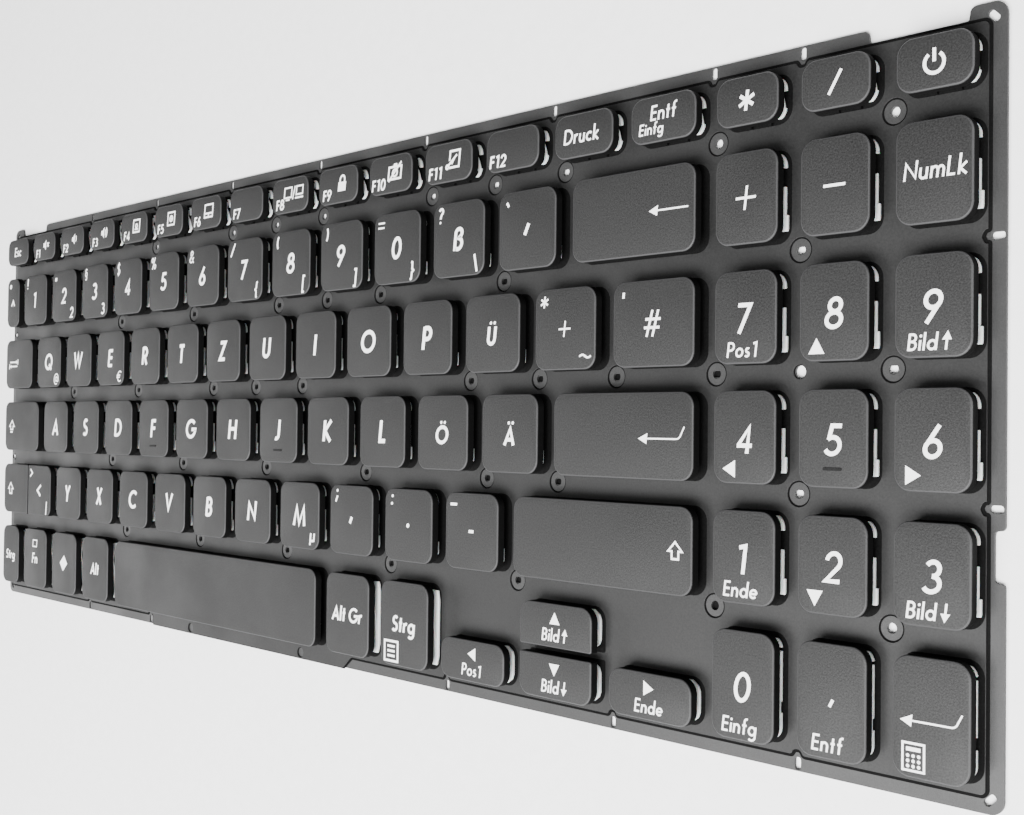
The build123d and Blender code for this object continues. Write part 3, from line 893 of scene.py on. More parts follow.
def marks_of(name: str) -> tuple[Mark, ...]:
    """Legends of one key.

    Args:
        name: the key's name.

    Returns:
        Its legends, from the main one to the least.
    """
    if name in OTHER_MARKS:
        return OTHER_MARKS[name]
    if name in DIGIT_SIGNS:
        main, upper, lower = DIGIT_SIGNS[name]
        size, weight = MAIN_STYLES.get(name, (DIGIT_SIZE, 0.17))
        return Mark(main, size, weight=weight), sign_mark(upper, Spot.UPPER_LEFT), *(
            [sign_mark(lower, Spot.LOWER_RIGHT)] if lower else [])
    if name in FUNCTION_ICONS:
        label = Mark(name.upper(), LABEL_SIZE, Spot.LOWER_LEFT, (0.4, -0.25), 0.18)
        icon = FUNCTION_ICONS[name]
        size = WIDE_ICON_SIZE if icon == "screens" else ICON_SIZE
        return (label, Mark(icon, size, Spot.CENTRE, (1.5, 0.4), 0.13)) if icon else (label,)
    if name in ARROW_WORDS:
        arrow, word = ARROW_WORDS[name]
        return (Mark(arrow, ARROW_SIZE, Spot.CENTRE, (0.0, 1.35)),
                Mark(word, ARROW_SIZE, Spot.CENTRE, (0.0, -1.7), 0.14))
    if name in UMLAUTS:
        return (Mark(UMLAUTS[name], UMLAUT_SIZE, weight=0.2),)
    if name.startswith("pad_"):
        point = name == "pad_comma"
        sign, size = (",", POINT_SIZE) if point else (name[-1], PAD_SIZE)
        main = Mark(sign, size, Spot.CENTRE, (0.1, -0.2), 0.14)
        word, arrow = PAD_WORDS.get(name), PAD_ARROWS.get(name)
        if word:
            return main, Mark(word, WORD_SIZE, Spot.FOOT, (-0.5, 0.0), 0.14)
        return (main, Mark(arrow, PAD_ARROW_SIZE, Spot.LOWER_LEFT, (0.3, 0.0))) if arrow else (main,)
    if name == "key_space":
        return ()
    sign = LETTER_SIGNS.get(name)
    letter = Mark(name[-1].upper(), LETTER_SIZE, weight=0.19)
    return (letter, sign_mark(sign, Spot.LOWER_RIGHT)) if sign else (letter,)


def sign_mark(sign: str, spot: Spot) -> Mark:
    """Small second sign of a key, in a finer line where the sign is a close one.

    Args:
        sign: the sign.
        spot: where on the keycap it sits.

    Returns:
        The legend.
    """
    return Mark(sign, SIGN_SIZE, spot, weight=0.115 if sign in FINE_SIGNS else 0.165)


@dataclass(frozen=True)
class Stroke:
    """One inked shape in plan: a band between two edges, or a patch where the right edge is empty.

    Args:
        left: points of the band's left edge, or of the patch's outline.
        right: points of the band's right edge.
        looped: whether the band's end meets its start.
    """

    left: list[Point]
    right: list[Point]
    looped: bool = False

    def moved(self, move: Callable[[Point], Point]) -> "Stroke":
        """The same shape with each of its points moved.

        Args:
            move: gives a point's new place.

        Returns:
            The moved shape.
        """
        left, right = ([move(point) for point in edge] for edge in (self.left, self.right))
        return Stroke(left, right, self.looped)


@dataclass
class Printer:
    """Prints slanted legends on keycaps as thin raised ink.

    Args:
        slant: lean of the letters, as a share of their height.
        spacing: gap between letters, as a share of the cap height.
        ink: thickness of the ink above the keycap, in millimetres.
        step: rise from one stroke to the next, which keeps crossing strokes apart, in millimetres.
        layers: how many strokes rise before the next one starts low again.
        bed: depth of the ink in the keycap, in millimetres.
        inset: distance of corner legends from the keycap's edges, in millimetres.
        foot: distance of foot legends from the keycap's front edge, in millimetres.
    """

    slant: float = 0.12
    spacing: float = 0.13
    ink: float = 0.012
    step: float = 0.004
    layers: int = 4
    bed: float = 0.03
    inset: float = 2.35
    foot: float = 2.3

    def print_key(self, draft: MeshDraft, cell: Cell, top: float) -> None:
        """Adds all the legends of one key to a draft.

        Args:
            draft: where the ink goes.
            cell: the key's place.
            top: height of the keycap's top.
        """
        for mark in marks_of(cell.name):
            strokes = self.lay(mark)
            middle = self._middle(strokes, mark)
            target = self._target(cell, mark)
            east, north = target[0] - middle[0], target[1] - middle[1]
            for order, stroke in enumerate(strokes):
                placed = stroke.moved(lambda point: (point[0] + east, point[1] + north))
                self._ink(draft, placed, top - self.bed, top + self.ink + order % self.layers * self.step)

    @staticmethod
    def _ink(draft: MeshDraft, stroke: Stroke, low: float, high: float) -> None:
        """Adds one shape to a draft, between two heights.

        Args:
            draft: where the ink goes.
            stroke: the shape.
            low: height of its underside.
            high: height of its top.
        """
        if not stroke.right:
            draft.patch(stroke.left, low, high)
            return
        rings = [[(*left, low), (*left, high), (*right, high), (*right, low)]
                 for left, right in zip(stroke.left, stroke.right)]
        draft.skin(rings, looped=stroke.looped)

    def lay(self, mark: Mark) -> list[Stroke]:
        """Shapes of a legend, in millimetres, from the left end of its baseline.

        Args:
            mark: the legend.

        Returns:
            Its shapes, in the order in which they are drawn.
        """
        glyphs = [mark.text] if mark.text in GLYPHS else list(mark.text)
        strokes = []
        pen = 0.0
        for glyph in glyphs:
            width, *parts = GLYPHS[glyph].split("|")
            for part in parts:
                shape = self._stroke(part, mark.weight / 2)
                strokes.append(shape.moved(lambda point: (point[0] + pen, point[1])))
            pen += float(width) + self.spacing
        lean = 0.0 if glyphs[0] in UPRIGHT else self.slant
        return [stroke.moved(lambda point: ((point[0] + lean * point[1]) * mark.size, point[1] * mark.size))
                for stroke in strokes]

    @staticmethod
    def _stroke(part: str, half: float) -> Stroke:
        """One stroke, patch or dot, as shares of the cap height.

        Args:
            part: its words in the table of glyphs.
            half: half of a stroke's width.

        Returns:
            The shape.
        """
        if part.startswith("*"):
            x, y, radius = map(float, part[1:].split(","))
            return Stroke(circle((x, y), radius, 14), [])
        path = []
        for word in part.lstrip("#").split():
            numbers = [float(number) for number in word.lstrip("@").split(",")]
            path.extend(arc(*numbers) if word.startswith("@") else [tuple(numbers)])
        return Stroke(path, []) if part.startswith("#") else band(path, half)

    @staticmethod
    def _middle(strokes: Sequence[Stroke], mark: Mark) -> Point:
        """Middle of a legend: of its ink for a single sign, of its cap height for a word.

        Args:
            strokes: its shapes.
            mark: the legend.

        Returns:
            The middle, in millimetres.
        """
        points = [point for stroke in strokes for point in stroke.left + stroke.right]
        xs, ys = zip(*points)
        word = len(mark.text) > 1 and mark.text not in GLYPHS
        return (min(xs) + max(xs)) / 2, mark.size / 2 if word else (min(ys) + max(ys)) / 2

    def _target(self, cell: Cell, mark: Mark) -> Point:
        """Place of a legend's middle.

        Args:
            cell: the key's place.
            mark: the legend.

        Returns:
            The place, in millimetres.
        """
        east, north = cell.width / 2 - self.inset, cell.depth / 2 - self.inset
        steps = {
            Spot.CENTRE: (0.0, 0.0),
            Spot.UPPER_LEFT: (-east, north),
            Spot.LOWER_RIGHT: (east, -north),
            Spot.LOWER_LEFT: (-east + 0.4, -north),
            Spot.FOOT: (0.0, self.foot - cell.depth / 2),
            Spot.EAST_END: (cell.width / 2 - 2 * self.inset, 0.0),
            Spot.WEST_END: (2 * self.inset - cell.width / 2, 0.0),
        }
        step = steps[mark.spot]
        return cell.x + step[0] + mark.shift[0], cell.y + step[1] + mark.shift[1]


def arc(x: float, y: float, wide: float, tall: float, first: float, last: float) -> list[Point]:
    """Points along an arc of an ellipse.

    Args:
        x: middle along X.
        y: middle along Y.
        wide: radius along X.
        tall: radius along Y.
        first: first angle, in degrees.
        last: last angle, in degrees.

    Returns:
        The points, with both ends.
    """
    count = max(3, round(abs(last - first) / 15))
    turns = [math.radians(first + (last - first) * step / count) for step in range(count + 1)]
    return [(x + wide * math.cos(turn), y + tall * math.sin(turn)) for turn in turns]


def band(path: Sequence[Point], half: float) -> Stroke:
    """Band of even width along a path, with its corners mitred.

    Args:
        path: points of the band's middle; a path that ends where it starts is closed.
        half: half of its width.

    Returns:
        The band.
    """
    points = [Vector(point) for index, point in enumerate(path)
              if not index or math.dist(point, path[index - 1]) > SAME_POINT]
    looped = (points[0] - points[-1]).length < SAME_POINT
    if looped:
        points.pop()
    count = len(points)
    left, right = [], []
    for index, here in enumerate(points):
        before = (here - points[index - 1]).normalized() if index or looped else None
        after = (points[(index + 1) % count] - here).normalized() if index < count - 1 or looped else before
        before = before or after
        across = Vector((-before.y - after.y, before.x + after.x)).normalized()
        offset = across * half / max(0.5, across.dot(Vector((-after.y, after.x))))
        left.append(tuple(here + offset))
        right.append(tuple(here - offset))
    return Stroke(left, right, looped)


@dataclass
class KeycapSet:
    """Keycap shells with rounded corners and rolled top edges.

    Args:
        layout: places and levels.
        radius: radius of the corners in plan, in millimetres.
        tight: radius of the corners on a square side, in millimetres.
        roll: radius of the rolled top edge, in millimetres.
        wall: thickness of the skirt, in millimetres.
        crown: thickness of the top, in millimetres.
        foot: bevel at the skirt's foot, in millimetres.
        share: share of a key's smaller side that a corner takes, at most.
        least: radius of the corners of an inset outline, at least, in millimetres.
        corner_steps: faces round each corner.
        roll_steps: faces over the rolled edge.
        homing: length, width and rise of the homing bars, in millimetres.
        homing_share: distance of the bars from the key's middle, as a share of its depth.
    """

    layout: KeyLayout
    radius: float = 2.55
    tight: float = 0.45
    roll: float = 0.28
    wall: float = 0.45
    crown: float = 0.9
    foot: float = 0.06
    share: float = 0.32
    least: float = 0.02
    corner_steps: int = 8
    roll_steps: int = 4
    homing: Solid = (3.2, 0.45, 0.12)
    homing_share: float = 0.31

    def corner(self, cell: Cell) -> float:
        """Radius of a keycap's rounded corners."""
        return min(self.radius, self.share * min(cell.width, cell.depth))

    def outline(self, cell: Cell, inset: float) -> list[Point]:
        """Rounded outline of a keycap, moved in by an inset.

        Args:
            cell: the key's place.
            inset: distance inside the keycap's own outline.

        Returns:
            Points of the outline, counter-clockwise.
        """
        points = []
        for turn, (east, north) in enumerate(((1, 1), (-1, 1), (-1, -1), (1, -1))):
            step = cell.square.value if cell.square else (0, 0)
            sharp = east * step[0] + north * step[1] > 0
            full = self.tight if sharp else self.corner(cell)
            radius = max(full - inset, self.least)
            middle_x = cell.x + east * (cell.width / 2 - max(full, inset))
            middle_y = cell.y + north * (cell.depth / 2 - max(full, inset))
            for index in range(self.corner_steps + 1):
                angle = math.pi / 2 * (turn + index / self.corner_steps)
                points.append((middle_x + radius * math.cos(angle), middle_y + radius * math.sin(angle)))
        return points

    def half_at(self, cell: Cell, inset: float, y: float) -> float:
        """Half of a keycap's width at a height in plan.

        Args:
            cell: the key's place.
            inset: distance inside the keycap's own outline.
            y: the height in plan.

        Returns:
            The distance from the key's middle to its rounded end.
        """
        radius = max(self.corner(cell) - inset, self.least)
        over = max(0.0, abs(y - cell.y) - (cell.depth / 2 - inset - radius))
        return cell.width / 2 - inset - radius + math.sqrt(max(0.0, radius ** 2 - over ** 2))

    def draw(self, draft: MeshDraft, cell: Cell) -> None:
        """Adds one keycap shell to a draft.

        Args:
            draft: where it goes.
            cell: the key's place.
        """
        skirt, top = self.layout.skirt, self.layout.top
        steps = [(self.wall, top - self.crown, 0.0), (self.wall, skirt, 0.0), (self.foot, skirt, 0.0),
                 (0.0, skirt + self.foot, 0.0)]
        walls = len(steps)
        for index in range(self.roll_steps + 1):
            turn = math.pi / 2 * index / self.roll_steps
            # Painted highlight on the rolled top edge, strongest halfway round it.
            rim = math.sin(2 * turn)
            steps.append((self.roll * (1 - math.cos(turn)), top - self.roll * (1 - math.sin(turn)), rim))
        rings = [[(*point, height) for point in self.outline(cell, inset)] for inset, height, _ in steps]
        # The skirt bands take the darker skirt finish: painted shade on the side walls.
        draft.skin(rings, [rim for _, _, rim in steps], shaded_bands=walls)
        if cell.name in HOMING_KEYS:
            draft.finish = 2
            length, width, rise = self.homing
            middle = cell.y - self.homing_share * cell.depth
            right, left = ((cell.x + side * (length - width) / 2, middle) for side in (1, -1))
            end = (width / 2, width / 2)
            bar = [*arc(*right, *end, -90, 90), *arc(*left, *end, 90, 270)]
            draft.patch(bar, top - rise, top + rise)
            draft.finish = 0

    def dress(self, printer: Printer) -> None:
        """Makes all the keycaps and their legends and seats them on their bodies.

        Args:
            printer: prints the legends.
        """
        for name, cell in self.layout.moving.items():
            self._make(name, [cell], printer, name, name)
        self._make("fixed_keycaps", list(self.layout.fixed.values()), printer, BASE, "fixed_keys")

    def _make(self, name: str, cells: Sequence[Cell], printer: Printer, body: str, node: str) -> None:
        """Makes the keycaps of one body and the ink on them.

        Args:
            name: start of the pieces' names.
            cells: the keys' places.
            printer: prints the legends.
            body: the body that they ride on.
            node: the CAD node that they stand for.
        """
        shell, ink = MeshDraft(), MeshDraft()
        for cell in cells:
            self.draw(shell, cell)
            printer.print_key(ink, cell, self.layout.top)
        cap = shell.build(f"{name}.cap", [KEYCAP, SKIRT_SHADE, HOMING])
        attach(cap, body)
        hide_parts(node)
        if ink.points:
            print_layer = ink.build(f"{name}.legend", [LEGEND])
            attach(print_layer, body)
        LOG.info("keycap %s", name)


@dataclass
class LiftSet:
    """Scissor levers and rubber domes that carry the keycaps.

    Args:
        layout: places and levels.
        caps: the keycaps, whose outline the ends of the levers follow.
        inset: distance of the arms from the keycap's edge, in millimetres.
        bar: width of the arms, in millimetres.
        thick: upright size of the arms, in millimetres.
        slim: upright size of the arms at the knee, in millimetres.
        low: height of the parts beside the skirt above the deck, in millimetres.
        room: space kept in the rounded corners of the skirt, in millimetres.
        span: width of the levers under a full-depth key, in millimetres.
        shallow: keys less deep than this are those of the top row and the arrows, in millimetres.
        deep: keys deeper than this are those of the space bar's row, in millimetres.
        widest: width of the levers under the other keys, at most, in millimetres.
        crown: thickness of the keycap's top, in millimetres.
        play: gap between lift and keycap, in millimetres.
        dome: foot and head radius of the domes, in millimetres.
        dome_share: share of a key's depth that a dome's radius takes, at most.
        shade_reach: how far the dark patch of painted shade under each key reaches past the key at its ends
            and at its sides, in millimetres.
        shade_levels: underside and top of that painted shade patch from the deck, in millimetres.
        folded: share of the lift's height that a pressed key leaves; not used.
    """

    layout: KeyLayout
    caps: KeycapSet
    inset: float = 0.62
    bar: float = 0.85
    thick: float = 0.5
    slim: float = 0.3
    low: float = 0.42
    room: float = 1.85
    span: float = 11.85
    shallow: float = 10.0
    deep: float = 16.0
    widest: float = 18.0
    crown: float = 0.9
    play: float = 0.08
    dome: Point = (2.6, 1.45)
    dome_share: float = 0.27
    shade_reach: Point = (0.45, 0.06)
    shade_levels: Point = (-0.05, 0.015)
    folded: float = 0.42

    def ends(self, cell: Cell) -> Sequence[tuple[float, float, float, float]]:
        """Low parts at the ends of a key's levers.

        Args:
            cell: the key's place.

        Returns:
            For each part, where it starts and ends as shares of the key's depth, its inset and its width.
        """
        if cell.depth > self.deep:
            if cell.width > self.span + 1:
                return (0.06, 0.93, -0.05, 1.7),
            return ((0.05, 0.28, 0.5, 0.8), (0.27, 0.4, 0.8, 0.6), (0.38, 0.84, 0.55, 0.8),
                    (0.87, 0.95, 0.5, 0.8))
        if cell.depth > self.shallow:
            return (0.125, 0.295, 0.0, 1.3), (0.29, 0.6, 0.4, 0.9), (0.8, 0.955, 0.3, 1.0)
        if cell.name.startswith("arrow"):
            return (0.06, 0.94, 0.4, 0.95),
        return (0.1, 0.3, 0.5, 0.7), (0.64, 0.9, 0.4, 0.8)

    def half_width(self, cell: Cell) -> float:
        """Half of the levers' width: full-depth keys share one lever, the others fill their keycap.

        Args:
            cell: the key's place.

        Returns:
            Half of the width, in millimetres.
        """
        full = self.shallow < cell.depth < self.deep
        return min(cell.width, self.span if full else self.widest) / 2 - self.inset

    def draw(self, draft: MeshDraft, cell: Cell) -> None:
        """Adds the levers and the dome of one key to a draft.

        Args:
            draft: where they go.
            cell: the key's place.
        """
        half, reach = self.half_width(cell), cell.depth / 2
        deck, ceiling = self.layout.deck, self.layout.top - self.crown - self.play
        head = ceiling - self.thick / 2
        front, back = cell.y - reach + self.room, cell.y + reach - self.room
        draft.finish = 0
        for side in (-1, 1):
            outer = cell.x + side * (half - self.bar / 2)
            inner = cell.x + side * (half - 1.7 * self.bar)
            knee = (outer, cell.y, deck + 2 * self.low)
            draft.beam((outer, front, deck + self.low / 2), knee, self.bar, (self.low, self.slim))
            draft.beam(knee, (outer, back, head), self.bar, (self.slim, self.thick))
            draft.beam((inner, back, deck + self.thick / 2), (inner, front, head), 0.9 * self.bar,
                       (self.thick, 0.8 * self.thick))
            for part in self.ends(cell):
                self._end_part(draft, replace(cell, width=2 * (half + self.inset)), side, part)
        for across, height in ((back, head), (front, head), (back, deck + self.thick / 2)):
            wide = half - (0.5 if height == head and across == back else 1.3) * self.bar
            draft.beam((cell.x - wide, across, height), (cell.x + wide, across, height), self.bar,
                       (self.thick, self.thick))
        self._dome(draft, cell)

    def _dome(self, draft: MeshDraft, cell: Cell) -> None:
        """Adds the rubber dome of one key to a draft.

        Args:
            draft: where it goes.
            cell: the key's place.
        """
        draft.finish = 1
        deck, ceiling = self.layout.deck, self.layout.top - self.crown - self.play
        wide, narrow = (min(radius, self.dome_share * cell.depth) for radius in self.dome)
        profile = ((wide, deck), (wide, deck + 0.25), (0.8 * wide, deck + 0.8), (narrow, ceiling - 0.2),
                   (narrow, ceiling))
        draft.skin([[(*point, height) for point in circle((cell.x, cell.y), radius, 20)]
                    for radius, height in profile])

    def _end_part(self, draft: MeshDraft, cell: Cell, side: int,
                  part: tuple[float, float, float, float], steps: int = 8) -> None:
        """Adds a low part of a lever on the deck, which follows the keycap's rounded end.

        Args:
            draft: where it goes.
            cell: the lever's place.
            side: 1 for the right end and -1 for the left one.
            part: where it starts and ends as shares of the key's depth, its inset and its width.
            steps: points along it.
        """
        start, end, inset, width = part
        ys = [cell.y + (start + (end - start) * step / steps - 0.5) * cell.depth for step in range(steps + 1)]
        outer = [(self.caps.half_at(cell, inset, y), y) for y in ys]
        shape = outer + [(x - width, y) for x, y in reversed(outer)]
        loop = [(cell.x + side * x, y) for x, y in shape]
        draft.patch(loop if side > 0 else loop[::-1], self.layout.deck, self.layout.deck + self.low)

    def dress_painted_shade(self) -> None:
        """Makes the dark patches on the film under and round each key, which paint the shade there."""
        draft = MeshDraft()
        low, high = (self.layout.deck + level for level in self.shade_levels)
        for cell in self.layout.cells.values():
            shade_patch = replace(cell, width=cell.width + 2 * self.shade_reach[0], depth=cell.depth + 2 * self.shade_reach[1])
            draft.patch(self.caps.outline(shade_patch, 0.0), low, high)
        piece = draft.build("key_wells", [SHADE_AND_HOOK_BLACK])
        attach(piece, BASE)
        LOG.info("painted_shade_patches under %d keys", len(self.layout.cells))

    def dress(self) -> None:
        """Makes the lifts: one under each moving key, and one group under the fixed keys."""
        for name, cell in self.layout.moving.items():
            draft = MeshDraft()
            self.draw(draft, cell)
            piece = draft.build(f"{name}.lift", [LEVER, DOME], bevel=0.06)
            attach(piece, BASE)
            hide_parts("scissor_levers", "rubber_domes")
            self._fold(piece)
        draft = MeshDraft()
        for cell in self.layout.fixed.values():
            self.draw(draft, cell)
        piece = draft.build("fixed_lifts", [LEVER, DOME], bevel=0.06)
        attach(piece, BASE)
        LOG.info("lifts under %d keys", len(self.layout.cells))

    def _fold(self, piece: bpy.types.Object) -> None:
        """Gives a lift or a wire its own copy of its mesh.

        Args:
            piece: the lift or the wire.
        """
        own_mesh(piece)

    def dress_wires(self, radius: float = 0.35, leg: float = 4.0) -> None:
        """Makes the bent wires that keep the wide keys level.

        Args:
            radius: half of the wire's thickness, in millimetres.
            leg: length of the wire's ends, in millimetres.
        """
        for name in STEADIED_KEYS:
            cell = self.layout.moving[name]
            front = cell.y - cell.depth / 2 + self.inset + radius
            high = self.layout.top - self.crown - self.play - radius
            low = self.layout.deck + radius
            half = cell.width / 2 - self.room - radius
            route = [(-half, leg, low), (-half, radius, high), (half, radius, high), (half, leg, low)]
            path = bpy.data.curves.new(f"{name}.wire", "CURVE")
            path.dimensions = "3D"
            path.bevel_depth = radius * MM
            path.bevel_resolution = 3
            path.use_fill_caps = True
            spline = path.splines.new("POLY")
            spline.points.add(len(route) - 1)
            for point, (x, y, z) in zip(spline.points, route):
                point.co = ((cell.x + x) * MM, (front + y) * MM, z * MM, 1.0)
            path.materials.append(WIRE.material())
            guide = link(f"{name}.wire_route", path)
            mesh = bpy.data.meshes.new_from_object(guide.evaluated_get(bpy.context.evaluated_depsgraph_get()))
            bpy.data.objects.remove(guide)
            piece = link(f"{name}.wire", mesh)
            smooth(mesh, 60)
            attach(piece, BASE)
            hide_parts("stabilisers")
            self._fold(piece)
            LOG.info("wire %s", name)


@dataclass
class Sheet:
    """Flat sheet cut along a CAD node's edges, with round holes and slots.

    Args:
        node: the CAD node that it stands for.
        finish: its surface.
        slot: the record's material slot; not used.
        soften: how far its outline's corners are rounded, in millimetres.
        edge: roll of its edges, in millimetres.
        grow: how far it reaches past the node's edges, in millimetres.
        plain: radius of the holes without a stake, in millimetres.
        slot_ratio: four-cornered holes longer than this share of their width are slots.
        hole_share: radius of a round hole as a share of its polygon's.
    """

    node: str
    finish: Finish
    slot: str
    soften: float
    edge: float = 0.04
    grow: float = 0.0
    plain: float = 1.0
    slot_ratio: float = 1.2
    hole_share: float = 0.93

    def loops(self) -> list[list[Point]]:
        """Rounded outline and holes of the sheet.

        Returns:
            The outline first, then the holes, in millimetres.
        """
        outline, *holes = top_loops(frame["nodes"][self.node])
        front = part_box(self.node)[0].y / MM + self.grow
        edge = [(x, max(y, front)) for x, y in softened(outline, self.soften)]
        return [edge, *(self._hole(hole) for hole in holes)]

    @staticmethod
    def plain_holes() -> list[Point]:
        """Middles of the film's holes without a stake."""
        return [hole_middle(hole) for hole in top_loops(frame["nodes"]["membrane"])[1:] if len(hole) == 4]

    def _hole(self, hole: list[Point]) -> list[Point]:
        """Round hole or slot in the place of a polygon.

        Args:
            hole: the polygon's corners.

        Returns:
            Points of the hole or slot.
        """
        middle = hole_middle(hole)
        if any(math.dist(middle, place) < self.plain for place in self.plain_holes()):
            return circle(middle, self.plain + max(self.grow, 0.0), 40)
        edges = [math.dist(first, second) for first, second in zip(hole, hole[1:])]
        if len(hole) == 4 and max(edges) > self.slot_ratio * min(edges):
            return softened(hole, 0.5 * min(edges), 6)
        radius = sum(math.dist(middle, point) for point in hole) / len(hole)
        return circle(middle, self.hole_share * radius, 40)

    def dress(self, low: float, high: float) -> None:
        """Makes the sheet between two heights.

        Args:
            low: height of its underside, in millimetres.
            high: height of its top, in millimetres.
        """
        path = bpy.data.curves.new(self.node, "CURVE")
        path.dimensions = "2D"
        path.fill_mode = "BOTH"
        path.bevel_depth = self.edge * MM
        path.bevel_resolution = 1
        path.offset = (self.grow - self.edge) * MM
        path.extrude = ((high - low) / 2 - self.edge) * MM
        for loop in self.loops():
            spline = path.splines.new("POLY")
            spline.points.add(len(loop) - 1)
            spline.use_cyclic_u = True
            for point, (x, y) in zip(spline.points, loop):
                point.co = (x * MM, y * MM, 0.0, 1.0)
        path.materials.append(self.finish.material())
        guide = link(f"{self.node}.outline", path)
        mesh = bpy.data.meshes.new_from_object(guide.evaluated_get(bpy.context.evaluated_depsgraph_get()))
        bpy.data.objects.remove(guide)
        mesh.transform(Matrix.Translation((0.0, 0.0, (low + high) / 2 * MM)))
        smooth(mesh)
        piece = link(f"{self.node}.{'border' if self.grow > 0 else 'sheet'}", mesh)
        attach(piece, BASE)
        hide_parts(self.node)
        LOG.info("sheet %s", piece.name)

    def dress_lip(self, high: float) -> None:
        """Makes the lip of the sheet that is folded down over the plate's edge.

        Args:
            high: height of the lip's top, in millimetres.
        """
        points = [vert.co / MM for vert in frame["nodes"][self.node].data.vertices
                  if vert.co.z / MM < 0.9 * high]
        left, right = min(point.x for point in points), max(point.x for point in points)
        front, back = min(point.y for point in points), max(point.y for point in points)
        draft = MeshDraft()
        draft.patch([(left, front), (right, front), (right, back), (left, back)], 0.0, high)
        piece = draft.build(f"{self.node}.lip", [self.finish], bevel=self.edge)
        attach(piece, BASE)
        LOG.info("lip %s", piece.name)


def hole_middle(hole: Sequence[Point]) -> Point:
    """Middle of a hole's corner points.

    Args:
        hole: its corners.

    Returns:
        The middle.
    """
    xs, ys = zip(*hole)
    return sum(xs) / len(hole), sum(ys) / len(hole)


